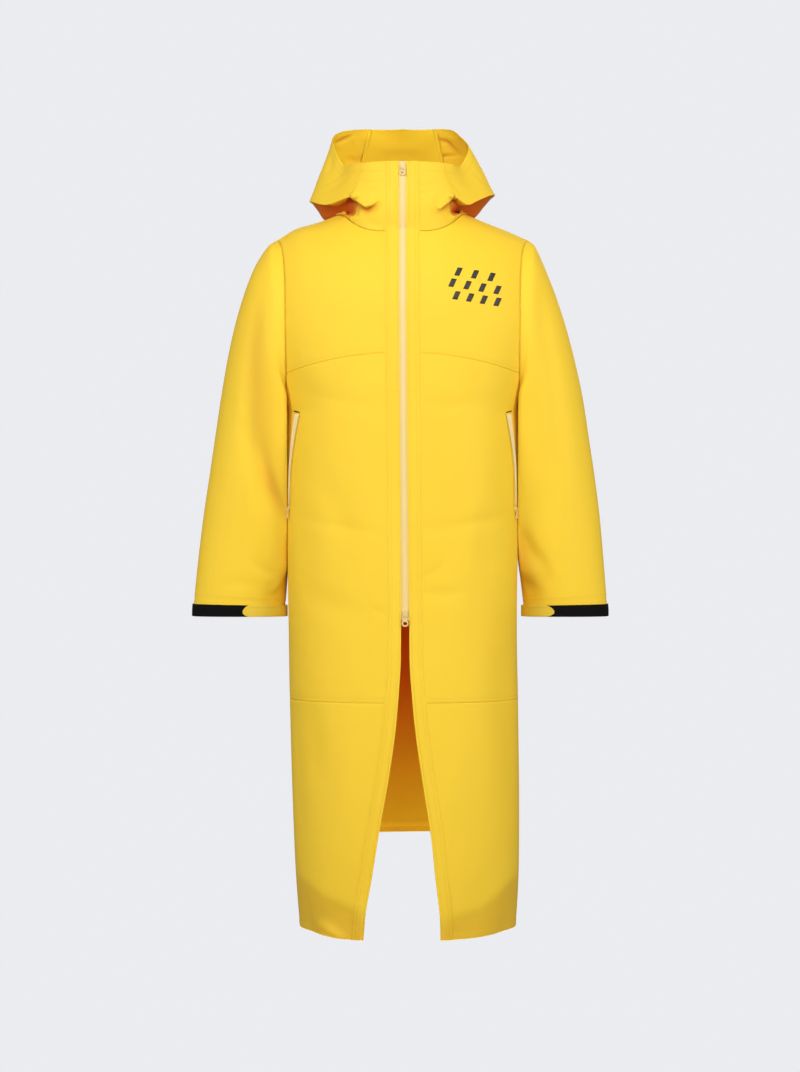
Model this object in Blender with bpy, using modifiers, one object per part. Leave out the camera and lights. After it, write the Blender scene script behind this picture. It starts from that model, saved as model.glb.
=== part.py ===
"""Hooded long raincoat, filled out and hollow, zipped to the thigh with an open slit below.

Metres, +Z up. The front faces -Y. The origin is inside the neck, where a neck and shoulders hold
the coat up. Left and right are the viewer's: left is -X. Every cloth piece is a wall on one shared
outer surface: a torso of oval sections, two sleeves of tilted rings, and a hood of polar rings.
"""
import math

import bmesh
import bpy
from mathutils import Matrix, Vector

# Cloth and seams
CLOTH = 0.0012            # wall thickness of the coated cloth
SEAM = 0.0004             # gap between two pieces at a seam
SHOULDER_SEAM = 0.0008    # gap between front and back at the shoulder's ridge
NECK_SEAM = 0.0009        # gap at the neck seam, where the collar stands on the sloping neck
ARM_SEAM = 0.0006         # more gap at the armhole's top, where the sleeve turns down
LAY = 0.0003              # gap under a piece that lies on another

# Torso: section shape and the heights where it changes
OVAL = 2.4                # exponent of the torso's oval sections
ARM_Z = -0.180            # middle height of the armhole, where the chest starts to round over
ARM_RISE = 0.152          # half of the armhole's height
ARM_DEPTH = 0.085         # half of the armhole's depth, front to back
SHOULDER_X = 0.2215       # shoulder point
SHOULDER_SLOPE = 0.412    # fall of the shoulder line for each metre outwards
SHOULDER_Z = ARM_Z + ARM_RISE
SHOULDER_ARCH = {-1: 0.0062, 1: 0.0010}   # rise of the shoulder line over its straight, each side
ARCH_LEAN = 1.9           # moves the arch's highest point outwards
CHEST_SHARE = 0.91        # chest width at the armhole's middle as a share of the shoulder width
CHEST_BEND = 1.6          # how late between neck and shoulder the columns lean in to that share
CHEST_TURN = 2.5          # how late above the armhole's middle they lean out again
COLUMN_BLEND = 0.25       # height below the armhole's middle over which the columns even out
NECK_X = 0.105            # half width of the neck seam
NECK_FRONT = 0.103
NECK_BACK = 0.080
NECK_OVAL = 2.6
KNEE_Z = -0.828           # level seam between middle panel and skirt
YOKE_CENTRE_Z = -0.234    # chest seam at the placket
YOKE_SIDE_Z = -0.270      # chest seam at the armhole
SLIT_Z = -0.688           # lower end of the zip, upper end of the slit
HEM_FRONT_Z = -1.231
HEM_SIDE_Z = -1.225
HEM_BACK_Z = -1.077       # the back hem is shorter
HEM_TILT = 0.012          # how much lower the back hem hangs on the left
HEM_REACH = 1.35          # how fast the back hem rises from the side seam to its level middle

# Zip
CHAIN_HALF = 0.0050
TAPE_HALF = 0.0110
CHAIN_SINK = 0.0002       # the chain's face lies this far under the cloth's face
TAPE_SINK = CLOTH + 0.0010
TAPE_THICK = 0.0010

# Columns and rows of the grids
NECK_STEPS = 9
SHOULDER_STEPS = 5
SLEEVE_STEPS = 24

YELLOW = (0.95, 0.64, 0.055)
CREAM = (0.86, 0.66, 0.32)
PULL_CREAM = (0.90, 0.72, 0.36)
BLACK = (0.006, 0.006, 0.007)


def table(header, rows):
    """Rows of numbers with named columns."""
    return [dict(zip(header, row)) for row in rows]


TORSO = table(
    ("z", "half", "shift", "front", "back"),
    [
        (-1.260, 0.1860, 0.0095, 0.131, 0.118),
        (-1.146, 0.1940, 0.0085, 0.133, 0.121),
        (-1.006, 0.1978, 0.0060, 0.134, 0.123),
        (-0.831, 0.1995, 0.0026, 0.134, 0.124),
        (-0.690, 0.1995, 0.0003, 0.133, 0.124),
        (-0.500, 0.2025, 0.0000, 0.133, 0.124),
        (-0.400, 0.2030, 0.0000, 0.134, 0.125),
        (-0.332, 0.2020, 0.0000, 0.135, 0.126),
        (-0.250, 0.2005, 0.0000, 0.136, 0.127),
        (-0.180, 0.2015, 0.0000, 0.135, 0.126),
    ],
)

# Half of the gap between the front edges, and how far its middle is off the centre line
FRONT_OPENING = table(
    ("z", "half_gap", "drift"),
    [
        (-1.260, 0.0690, -0.0035),
        (-1.184, 0.0628, -0.0012),
        (-1.126, 0.0541, 0.0010),
        (-1.047, 0.0435, 0.0036),
        (-0.957, 0.0284, 0.0047),
        (-0.868, 0.0159, 0.0047),
        (-0.804, 0.0104, 0.0045),
        (-0.762, 0.0076, 0.0044),
        (-0.690, 0.0069, 0.0043),
        (-0.640, 0.0062, 0.0040),
        (-0.420, 0.0062, 0.0020),
        (-0.150, 0.0062, 0.0000),
    ],
)

# Soft folds of the torso: angle is 0 at the front centre and 180 at the back centre, lean is the
# change of angle for each metre of height, depth is outwards
TORSO_FOLDS = table(
    ("side", "z", "angle", "lean", "tall", "wide", "depth"),
    [
        (-1, -0.300, 50, 120, 0.070, 12, -0.0030),
        (-1, -0.520, 26, -60, 0.090, 9, -0.0035),
        (-1, -0.600, 62, 50, 0.120, 10, 0.0035),
        (-1, -0.950, 66, 20, 0.160, 10, -0.0050),
        (-1, -1.180, 30, -90, 0.060, 12, -0.0060),
        (1, -0.440, 58, -70, 0.090, 10, -0.0035),
        (1, -0.560, 30, 60, 0.110, 9, 0.0030),
        (1, -0.900, 62, -25, 0.150, 11, -0.0045),
        (1, -1.190, 34, 80, 0.060, 12, -0.0055),
        (-1, -0.620, 135, 30, 0.200, 11, -0.0060),
        (1, -0.700, 142, -20, 0.220, 12, -0.0060),
        (-1, -0.900, 165, 8, 0.160, 9, 0.0050),
        (1, -0.330, 150, 60, 0.080, 12, -0.0040),
    ],
)

FOLD_FADE = 15            # degrees from the side seam over which the folds die out

# Sleeve rings from the armhole to the cuff: the point beside the body, the outer point, half the
# ring's depth and the middle of its depth. The first ring is the armhole itself.
SLEEVE = table(
    ("inner_left", "inner_right", "inner_z", "outer_left", "outer_right", "outer_z", "deep", "y"),
    [
        (0.2025, 0.2025, -0.3320, 0.2220, 0.2220, -0.0280, 0.085, 0.000),
        (0.2058, 0.2058, -0.3420, 0.2370, 0.2330, -0.0400, 0.087, 0.001),
        (0.2060, 0.2060, -0.3580, 0.2590, 0.2490, -0.0750, 0.088, 0.004),
        (0.2050, 0.2050, -0.3790, 0.2770, 0.2670, -0.1200, 0.087, 0.008),
        (0.2038, 0.2038, -0.4040, 0.2935, 0.2855, -0.1750, 0.085, 0.012),
        (0.2030, 0.2030, -0.4340, 0.3070, 0.3018, -0.2350, 0.082, 0.015),
        (0.2026, 0.2026, -0.4690, 0.3184, 0.3162, -0.3000, 0.078, 0.018),
        (0.2024, 0.2024, -0.5080, 0.3290, 0.3272, -0.3700, 0.073, 0.020),
        (0.2018, 0.2018, -0.5480, 0.3395, 0.3378, -0.4400, 0.067, 0.022),
        (0.2012, 0.2035, -0.5880, 0.3500, 0.3468, -0.5100, 0.060, 0.023),
        (0.2030, 0.2085, -0.6280, 0.3592, 0.3535, -0.5850, 0.052, 0.023),
        (0.2058, 0.2125, -0.6650, 0.3670, 0.3595, -0.6620, 0.044, 0.023),
        (0.2060, 0.2130, -0.6850, 0.3680, 0.3605, -0.6850, 0.042, 0.023),
    ],
)

# Sleeve folds from one ring and angle to another: angle 0 is beside the body, 90 is the front,
# 180 is the outer edge and 270 the back
SLEEVE_FOLDS = table(
    ("side", "ring_a", "angle_a", "ring_b", "angle_b", "wide", "depth"),
    [
        (-1, 2.6, 118, 6.0, 92, 15, -0.0070),
        (-1, 6.0, 92, 9.4, 34, 14, -0.0080),
        (-1, 3.5, 262, 8.0, 285, 16, -0.0070),
        (-1, 8.5, 215, 10.5, 250, 14, -0.0045),
        (1, 2.8, 112, 6.5, 96, 15, -0.0060),
        (1, 7.6, 70, 10.8, 40, 16, -0.0075),
        (1, 4.0, 265, 8.6, 288, 16, -0.0070),
        (1, 8.0, 220, 10.4, 245, 14, -0.0045),
    ],
)

SLEEVE_SQUARE = 0.05      # how much fuller than an ellipse a sleeve ring is at its corners
SQUARE_RING = 4           # the ring from which it is in full
START_FADE = 1.5          # rings below the armhole over which the folds begin
CUFF_FADE = 1.2           # rings above the cuff over which they end

# Hood rings, each at six angles round the neck: 0 is the front centre, 180 the back centre
HOOD_ANGLES = (0, 50, 73, 98, 132, 180)
HOOD_RINGS = {
    "tuck": {"reach": (0.1025, 0.1145, 0.121, 0.139, 0.138, 0.128),
             "z": (0.004, 0.010, 0.0155, 0.0125, 0.016, 0.018)},
    "fold": {"reach": (0.1020, 0.1180, 0.138, 0.1655, 0.175, 0.168),
             "z": (0.035, 0.038, 0.030, 0.045, 0.046, 0.044)},
    "side": {"reach": (0.1010, 0.1110, 0.119, 0.143, 0.156, 0.147),
             "z": (0.070, 0.070, 0.070, 0.100, 0.117, 0.122)},
    "rim": {"reach": (0.1000, 0.1070, 0.1055, 0.119, 0.124, 0.098),
            "z": (0.0960, 0.0965, 0.099, 0.142, 0.180, 0.186)},
}
# How one side of the hood differs from the rings above, round a middle angle
HOOD_CHANGES = table(
    ("side", "ring", "angle", "wide", "reach", "z"),
    [
        (-1, "rim", 114, 20, 0.0095, 0.003),
        (-1, "tuck", 96, 24, 0.0030, 0.000),
        (1, "fold", 98, 34, -0.0010, 0.011),
        (1, "tuck", 94, 28, -0.0080, 0.005),
        (1, "side", 100, 30, -0.0010, 0.004),
    ],
)
HOOD_LEVELS = (0.0, 0.5, 1.0, 1.5, 1.85, 2.0, 2.2, 2.55, 3.0, 3.5, 4.0)
COLLAR_SEAM = (56, 52, 50, 44, 41)       # angle of the collar's side seam at each ring
CENTRE_SEAM = 152                        # angle of the hood's centre panel's seams
COLLAR_STEPS = 6
HOOD_STEPS = 12
CENTRE_STEPS = 8

# Cuffs: the band lies on the last two rings; the tab runs from behind the inner edge to an end
# that rounds off, as angles round the sleeve
CUFF_RING = len(SLEEVE) - 2
BAND_THICK = 0.0018
TAB_THICK = 0.0012
TAB_START = -60
TAB_END = {-1: 75, 1: 60}
TAB_ROUND = {-1: 9, 1: 13}

# Pocket zips: reach along the section as a share of the half width
POCKET = table(
    ("z", "share"),
    [(-0.4900, 0.965), (-0.4500, 0.962), (-0.4150, 0.952), (-0.3750, 0.930), (-0.3345, 0.900)],
)
POCKET_HALF = 0.0034
POCKET_THICK = 0.0009
BAR_HALF = 0.0050
BAR_TALL = 0.0026
BAR_THICK = 0.0008
BAR_LEAN = 0.15           # fall of the bar's ends for each metre across
BAR_LIFT = 0.0010         # gap between the pocket zip's top and the bar

# Sliders and pull tabs
SLIDER_WIDE = 0.0092
SLIDER_TALL = 0.0110
SLIDER_THICK = 0.0020
SLIDER_EDGE = 0.0005
BRIDGE_WIDE = 0.0018
BRIDGE_TALL = 0.0056
BRIDGE_RISE = 0.0030
BRIDGE_HOLE = 0.0024
PIN_DROP = 0.0030         # the pull's axis, below the slider's middle
PULL_THICK = 0.0014
PULL_BAR = 0.0006         # from the axis to the pull's top edge
WINDOW_HALF = 0.0016
WINDOW_DROP = 0.0040
RAIL = 0.0013             # width of the pull beside its window, and the neck below it
RING_FLAT = 0.86          # height of the pull's ring as a share of its width
EYE_WIDE = 0.62           # the ring's hole, as shares of the ring's half width
EYE_TALL = 0.46

SLIDERS = table(
    ("name", "pull", "z", "scale", "length", "ring"),
    [
        ("slider_top", "pull_top", 0.0865, 0.85, 0.0130, 0.0050),
        ("slider_bottom", "pull_bottom", -0.6750, 1.00, 0.0195, 0.0062),
    ],
)
POCKET_SLIDER_Z = -0.4960
POCKET_SCALE = 0.72
POCKET_PULL_LENGTH = 0.0165
POCKET_PULL_RING = 0.0042


def column(rows, key, at, by="z"):
    """One named column of a table, on a smooth curve through its rows."""
    return curve([row[by] for row in rows], [row[key] for row in rows], at)


def curve(stops, values, at):
    """Smooth curve through values at rising stops."""
    if at <= stops[0]:
        return values[0]
    if at >= stops[-1]:
        return values[-1]
    i = max(k for k in range(len(stops) - 1) if stops[k] <= at)
    span = stops[i + 1] - stops[i]
    t = (at - stops[i]) / span
    slopes = []
    for k in (i, i + 1):
        low, high = max(k - 1, 0), min(k + 1, len(stops) - 1)
        slopes.append((values[high] - values[low]) / (stops[high] - stops[low]) * span)
    a, b = values[i], values[i + 1]
    return (a * (2 * t**3 - 3 * t**2 + 1) + b * (3 * t**2 - 2 * t**3)
            + slopes[0] * (t**3 - 2 * t**2 + t) + slopes[1] * (t**3 - t**2))


def mix(a, b, t):
    return a + (b - a) * t


def ease(t):
    t = min(max(t, 0.0), 1.0)
    return t * t * (3 - 2 * t)


def steps(count):
    return [i / count for i in range(count + 1)]


# ---------------------------------------------------------------- torso surface

def shoulder_line(side, x):
    """Height of the shoulder line, carried on inwards over the neck."""
    out = max(0.0, (x - NECK_X) / (SHOULDER_X - NECK_X))
    arch = SHOULDER_ARCH[side] * math.sin(math.pi * out**ARCH_LEAN) ** 2
    return SHOULDER_Z + (SHOULDER_X - x) * SHOULDER_SLOPE + arch


def armhole_depth(z):
    """Depth of the armhole's edge from the side seam plane at a height, zero below the underarm."""
    rise = (z - ARM_Z) / ARM_RISE
    return ARM_DEPTH * math.sqrt(max(0.0, 1.0 - rise * rise)) if z > ARM_Z - ARM_RISE else 0.0


def oval_angle(share):
    """Angle of a section's point that lies at a share of the half width."""
    return math.copysign(math.asin(min(abs(share), 1.0) ** (OVAL / 2)), share)


def section(z, face):
    """Half width, depth and end angle of the torso's section. Face is -1 in front, 1 behind."""
    depth = column(TORSO, "front" if face < 0 else "back", z)
    end = math.acos((armhole_depth(z) / depth) ** (OVAL / 2))
    half = column(TORSO, "half", z) / math.sin(end) ** (2 / OVAL)
    return half, depth, end


def torso_fold(side, degrees, z):
    """Sum of the soft folds at a place, outwards."""
    total = 0.0
    for fold in TORSO_FOLDS:
        if fold["side"] != side:
            continue
        off = degrees - fold["angle"] - fold["lean"] * (z - fold["z"])
        rise = (z - fold["z"]) / fold["tall"]
        total += fold["depth"] * math.exp(-(off / fold["wide"]) ** 2 - rise * rise)
    return total


def drift_at(z, share):
    """Sideways shift of a front point: the opening's at the centre, the section's at the side."""
    shift = column(TORSO, "shift", z)
    return shift + (column(FRONT_OPENING, "drift", z) - shift) * (1 - share * share)


def level_point(side, face, z, angle):
    """Point of the torso's outer surface at a height below the chest's rounding."""
    half, depth = section(z, face)[:2]
    share = math.copysign(abs(math.sin(angle)) ** (2 / OVAL), angle)
    turn = math.degrees(angle)
    fade = ease((90 - turn) / FOLD_FADE)
    bulge = torso_fold(side, turn if face < 0 else 180 - turn, z) * fade
    x = side * (half * share + bulge * math.sin(angle))
    y = face * (depth * max(math.cos(angle), 0.0) ** (2 / OVAL) + bulge * math.cos(angle))
    x += drift_at(z, share) if face < 0 else column(TORSO, "shift", z)
    return Vector((x, y, z))


def top_x(k, face, edge):
    """Where a column ends at the neck or shoulder seam, out from the centre line."""
    if k <= NECK_STEPS:
        return edge + (NECK_X - edge) * math.sin(k / NECK_STEPS * math.pi / 2) ** (2 / NECK_OVAL)
    return mix(NECK_X, SHOULDER_X, (k - NECK_STEPS) / SHOULDER_STEPS)


def chest_x(x):
    """Where the column that ends at x crosses the armhole's middle height."""
    outer = max(0.0, (x - NECK_X) / (SHOULDER_X - NECK_X))
    return x * (1 - (1 - CHEST_SHARE) * outer**CHEST_BEND)


def chest_depth(x, face):
    """Depth of the section at the armhole's middle, for the column that ends at x."""
    half, depth = section(ARM_Z, face)[:2]
    return depth * math.cos(oval_angle(chest_x(x) / half)) ** (2 / OVAL)


def neck_depth(x, face):
    share = min(abs(x) / NECK_X, 1.0)
    return (NECK_FRONT if face < 0 else NECK_BACK) * (1 - share**NECK_OVAL) ** (1 / NECK_OVAL)


def rounding_end(x, face):
    """Angle of the chest's rounding at which a column reaches the neck or shoulder seam."""
    if x >= NECK_X:
        return math.pi / 2
    return math.acos(min(neck_depth(x, face) / chest_depth(x, face), 1.0))


def over_point(side, face, x, rise):
    """Point above the armhole's middle: rise runs from 0 there to 1 at the column's top."""
    turn = rounding_end(x, face) * rise
    z = mix(ARM_Z, shoulder_line(side, x), math.sin(turn))
    out = mix(chest_x(x), x, rise**CHEST_TURN)
    return Vector((side * out, face * chest_depth(x, face) * math.cos(turn), z))


def panel_point(side, face, k, z):
    """Point of column k of a torso panel at a height up to the armhole's middle."""
    half, _, end = section(z, face)
    edge = column(FRONT_OPENING, "half_gap", z) if face < 0 else 0.0
    first = oval_angle(edge / half)
    even = mix(first, end, k / (NECK_STEPS + SHOULDER_STEPS))
    chest_half = section(ARM_Z, face)[0]
    bunched = oval_angle(chest_x(top_x(k, face, edge)) / chest_half)
    top_end = oval_angle(chest_x(SHOULDER_X) / chest_half)
    bunched = mix(first, end, (bunched - first) / (top_end - first)) if k else first
    angle = mix(bunched, even, ease((ARM_Z - z) / COLUMN_BLEND))
    return level_point(side, face, z, angle)


def panel_over(side, face, k, rise):
    edge = column(FRONT_OPENING, "half_gap", ARM_Z) if face < 0 else 0.0
    point = over_point(side, face, top_x(k, face, edge), rise)
    if k == 0 and face < 0:
        point.x = side * edge
    return point


ROUNDING = (0.22, 0.42, 0.60, 0.75, 0.87, 0.95, 0.985, 1.0)
COLUMNS = range(NECK_STEPS + SHOULDER_STEPS + 1)


def part_seams(point, face, k):
    """Draw a panel's side seam and shoulder edge back from its neighbour."""
    if abs(point.y) < SEAM / 2 and point.z > ARM_Z:
        point.y += face * SHOULDER_SEAM / 2
    elif k == NECK_STEPS + SHOULDER_STEPS:
        point.y += face * SEAM / 2
    return point


def yoke_seam(k):
    return mix(YOKE_CENTRE_Z, YOKE_SIDE_Z, (k / (NECK_STEPS + SHOULDER_STEPS)) ** 2)


def front_hem(k):
    return mix(HEM_FRONT_Z, HEM_SIDE_Z, ease(k / (NECK_STEPS + SHOULDER_STEPS)))


def back_hem(side, k):
    share = k / (NECK_STEPS + SHOULDER_STEPS)
    middle = HEM_BACK_Z + side * HEM_TILT / 2 * share
    return mix(HEM_SIDE_Z, middle, ease((1 - share) * HEM_REACH))


# ---------------------------------------------------------------- objects

def collection(name):
    found = bpy.data.collections.new(name)
    bpy.context.scene.collection.children.link(found)
    return found


def material(name, colour, roughness, metallic=0.0):
    made = bpy.data.materials.new(name)
    made.use_nodes = True
    shader = made.node_tree.nodes["Principled BSDF"]
    shader.inputs["Base Color"].default_value = (*colour, 1.0)
    shader.inputs["Roughness"].default_value = roughness
    shader.inputs["Metallic"].default_value = metallic
    return made


def new_object(name, mesh, colour, roughness=0.7):
    made = bpy.data.objects.new(name, mesh)
    parts.objects.link(made)
    mesh.materials.append(material(name + "_material", colour, roughness))
    return made


def sheet_mesh(name, rows, wrap=False, flip=False):
    """Open surface through rows of points; wrap joins the ends of each row."""
    mesh = bpy.data.meshes.new(name)
    count = len(rows[0])
    faces = []
    for r in range(len(rows) - 1):
        for c in range(count if wrap else count - 1):
            n = (c + 1) % count
            face = (r * count + c, r * count + n, (r + 1) * count + n, (r + 1) * count + c)
            faces.append(face[::-1] if flip else face)
    mesh.from_pydata([tuple(p) for row in rows for p in row], [], faces)
    mesh.shade_smooth()
    return mesh


def cloth(name, rows, wrap=False, flip=False, thick=CLOTH, offset=-1.0, colour=YELLOW):
    """Cloth wall with its outer face on the rows of points."""
    made = new_object(name, sheet_mesh(name, rows, wrap, flip), colour)
    wall = made.modifiers.new("wall", "SOLIDIFY")
    wall.thickness = thick
    wall.offset = offset
    return made


# ---------------------------------------------------------------- torso panels

def front_panels(side, word):
    def row(height):
        return [part_seams(panel_point(side, -1, k, height(k)), -1, k) for k in COLUMNS]

    def between(low, high, count):
        return [row(lambda k, t=t: mix(low(k), high(k), t)) for t in steps(count)]

    underarm = ARM_Z - ARM_RISE
    skirt = between(front_hem, lambda k: KNEE_Z - SEAM / 2, 10)
    middle = between(lambda k: KNEE_Z + SEAM / 2, lambda k: underarm, 12)
    middle += between(lambda k: underarm, lambda k: yoke_seam(k) - SEAM / 2, 3)[1:]
    yoke = between(lambda k: yoke_seam(k) + SEAM / 2, lambda k: ARM_Z, 2)
    yoke += [[part_seams(panel_over(side, -1, k, rise), -1, k) for k in COLUMNS] for rise in ROUNDING]
    for name, rows in (("skirt", skirt), ("middle", middle), ("yoke", yoke)):
        cloth(f"front_{name}_{word}", rows, flip=side < 0)


def back_panel():
    def whole(half_row):
        left = half_row(-1)
        return left[::-1] + half_row(1)[1:]

    def row(t, low, high):
        def half_row(side):
            return [part_seams(panel_point(side, 1, k, mix(low(side, k), high, t)), 1, k)
                    for k in COLUMNS]
        return whole(half_row)

    def over(rise):
        return whole(lambda side: [part_seams(panel_over(side, 1, k, rise), 1, k) for k in COLUMNS])

    underarm = ARM_Z - ARM_RISE
    rows = [row(t, back_hem, underarm) for t in steps(14)]
    rows += [row(t, lambda side, k: underarm, ARM_Z) for t in steps(4)][1:]
    rows += [over(rise) for rise in ROUNDING]
    cloth("back_panel", rows, flip=True)


# ---------------------------------------------------------------- sleeves and cuffs

def sleeve_value(key, ring):
    return curve(list(range(len(SLEEVE))), [row[key] for row in SLEEVE], ring)


def sleeve_fold(side, ring, degrees):
    total = 0.0
    for fold in SLEEVE_FOLDS:
        if fold["side"] != side:
            continue
        t = (ring - fold["ring_a"]) / (fold["ring_b"] - fold["ring_a"])
        near = min(max(t, 0.0), 1.0)
        off = (degrees - mix(fold["angle_a"], fold["angle_b"], near) + 180) % 360 - 180
        past = (t - near) * (fold["ring_b"] - fold["ring_a"])
        total += fold["depth"] * math.exp(-(off / fold["wide"]) ** 2 - past * past)
    return total


def sleeve_point(side, ring, degrees, out=0.0):
    """Point of a sleeve's outer face; out moves it off the face."""
    word = "left" if side < 0 else "right"
    inner = Vector((side * sleeve_value("inner_" + word, ring), 0, sleeve_value("inner_z", ring)))
    outer = Vector((side * sleeve_value("outer_" + word, ring), 0, sleeve_value("outer_z", ring)))
    turn = math.radians(degrees)
    middle, half = (inner + outer) / 2, (inner - outer) / 2
    deep = sleeve_value("deep", ring)
    full = 1 + SLEEVE_SQUARE * math.sin(2 * turn) ** 2 * ease(ring / SQUARE_RING)
    fade = ease(ring / START_FADE) * ease((CUFF_RING - ring) / CUFF_FADE)
    push = out + sleeve_fold(side, ring, degrees) * fade
    away = half.normalized() * math.cos(turn) / half.length - Vector((0, math.sin(turn) / deep, 0))
    point = middle + half * math.cos(turn) * full
    point.y = sleeve_value("y", ring) - deep * full * math.sin(turn)
    point += away.normalized() * push
    if ring == 0:
        rise = (point.z - ARM_Z) / ARM_RISE
        top = math.asin(min(max(rise, 0.0), 1.0)) / (math.pi / 2)
        share = CHEST_SHARE + (1 - CHEST_SHARE) * top**CHEST_TURN
        below = column(TORSO, "half", point.z)
        edge = SHOULDER_X * share if rise > 0 else below
        point.x = side * (edge + SEAM + ARM_SEAM * top)
    return point


def sleeves(side, word):
    turns = [360 * i / SLEEVE_STEPS for i in range(SLEEVE_STEPS)]
    cuff_rings = [CUFF_RING + t for t in steps(2)]
    rings = [0.0, 0.5] + [mix(1, CUFF_RING, t) for t in steps(15)][:-1] + cuff_rings
    rows = [[sleeve_point(side, ring, turn) for turn in turns] for ring in rings]
    cloth("sleeve_" + word, rows, wrap=True, flip=side > 0)
    cuff(side, word, turns, cuff_rings)


def cuff(side, word, turns, rings):
    """Band round the sleeve's end, and the tab that lies on its inner half."""
    band = [[sleeve_point(side, ring, turn, LAY * 2) for turn in turns] for ring in rings]
    cloth("cuff_band_" + word, band, True, side > 0, BAND_THICK, 1.0, BLACK)

    end, rounding = TAB_END[side], TAB_ROUND[side]
    angles = list(range(TAB_START, end + 1, 360 // SLEEVE_STEPS))
    angles += [end + rounding * share for share in (0.5, 0.85, 1.0)]
    rows = []
    for across in (-1.0, -0.5, 0.0, 0.5, 1.0):
        row = []
        for angle in angles:
            past = min(max((angle - end) / rounding, 0.0), 0.97)
            ring = CUFF_RING + 0.5 + 0.49 * across * math.sqrt(1 - past * past)
            row.append(sleeve_point(side, ring, angle, LAY * 3 + BAND_THICK))
        rows.append(row)
    cloth("cuff_tab_" + word, rows, False, side > 0, TAB_THICK, 1.0)


# ---------------------------------------------------------------- hood and collar

def neck_ring(degrees):
    """Reach and height of the neck seam at an angle round the neck."""
    turn = math.radians(degrees)
    face = -1 if degrees <= 90 else 1
    depth = NECK_FRONT if face < 0 else NECK_BACK
    sine, cosine = abs(math.sin(turn)), abs(math.cos(turn))
    reach = ((sine / NECK_X) ** NECK_OVAL + (cosine / depth) ** NECK_OVAL) ** (-1 / NECK_OVAL)
    x = min(reach * sine, NECK_X)
    z = mix(ARM_Z, shoulder_line(1, x), math.sin(rounding_end(x, face)))
    return reach, z + NECK_SEAM


def hood_point(side, degrees, level):
    """Point of the hood's outer face: level 0 is the neck seam, 4 the rim."""
    reach, z = neck_ring(degrees)
    reaches, heights = [reach], [z]
    for name, ring in HOOD_RINGS.items():
        reaches.append(curve(HOOD_ANGLES, ring["reach"], degrees))
        heights.append(curve(HOOD_ANGLES, ring["z"], degrees))
        for change in HOOD_CHANGES:
            if change["side"] == side and change["ring"] == name:
                share = math.exp(-((degrees - change["angle"]) / change["wide"]) ** 2)
                reaches[-1] += change["reach"] * share
                heights[-1] += change["z"] * share
    stops = list(range(len(reaches)))
    reach, z = curve(stops, reaches, level), curve(stops, heights, level)
    turn = math.radians(degrees)
    return Vector((side * reach * math.sin(turn), -reach * math.cos(turn), z))


def seam_angle(level):
    return curve(list(range(len(COLLAR_SEAM))), COLLAR_SEAM, level)


def hood_row(side, level, start, end, count):
    """Points along one ring between two angles, parted from the neighbours by half a seam."""
    reach = abs(hood_point(side, (start + end) / 2, level).xy.length)
    part = math.degrees(SEAM / 2 / reach)
    return [hood_point(side, mix(start + part, end - part, t), level) for t in steps(count)]


def collar_row(side, level):
    edge = column(FRONT_OPENING, "half_gap", 0.0)
    reach = hood_point(side, 0, level).xy.length
    start = math.degrees(math.asin(edge / reach))
    row = hood_row(side, level, start, seam_angle(level), COLLAR_STEPS)
    row[0].x = side * edge
    return row


def hood(side, word):
    collar = [collar_row(side, level) for level in HOOD_LEVELS]
    cloth("collar_" + word, collar, flip=side < 0)
    panel = [hood_row(side, level, seam_angle(level), CENTRE_SEAM, HOOD_STEPS)
             for level in HOOD_LEVELS]
    cloth("hood_" + word, panel, flip=side < 0)


def hood_centre():
    rows = []
    for level in HOOD_LEVELS:
        reach = hood_point(1, CENTRE_SEAM, level).xy.length
        start = CENTRE_SEAM + math.degrees(SEAM / 2 / reach)
        half = [(mix(start, 180, t)) for t in steps(CENTRE_STEPS // 2)]
        left = [hood_point(-1, angle, level) for angle in half]
        right = [hood_point(1, angle, level) for angle in half[:-1]]
        rows.append(left + right[::-1])
    cloth("hood_centre", rows, flip=True)


# ---------------------------------------------------------------- zips

def front_line():
    """Points of the front's outer face at the centre, on the same rows as the panels."""
    middle = mix(YOKE_CENTRE_Z, ARM_Z, 0.5)
    levels = [t for t in (mix(KNEE_Z, ARM_Z - ARM_RISE, t) for t in steps(12)) if t > SLIT_Z]
    levels = [SLIT_Z] + levels + [mix(ARM_Z - ARM_RISE, YOKE_CENTRE_Z, t) for t in steps(3)][1:]
    line = [panel_point(1, -1, 0, z) for z in levels + [middle, ARM_Z]]
    line += [panel_over(1, -1, 0, rise) for rise in ROUNDING]
    line += [collar_row(1, level)[0] for level in HOOD_LEVELS]
    return [(point.y, point.z) for point in line]


def front_depth(z):
    """Depth of the front's outer face at the centre at a height."""
    line = front_line()
    for (y_a, z_a), (y_b, z_b) in zip(line, line[1:]):
        if z_a <= z <= z_b:
            return mix(y_a, y_b, (z - z_a) / (z_b - z_a))
    return line[0][0]


def loft(name, sections, colour, roughness=0.6):
    """Closed solid through sections of equal point count."""
    mesh = bpy.data.meshes.new(name)
    work = bmesh.new()
    loops = [[work.verts.new(p) for p in points] for points in sections]
    for a, b in zip(loops, loops[1:]):
        for i in range(len(a)):
            n = (i + 1) % len(a)
            work.faces.new((a[i], a[n], b[n], b[i]))
    work.faces.new(loops[0][::-1])
    work.faces.new(loops[-1])
    bmesh.ops.recalc_face_normals(work, faces=work.faces)
    work.to_mesh(mesh)
    work.free()
    return new_object(name, mesh, colour, roughness)


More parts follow.
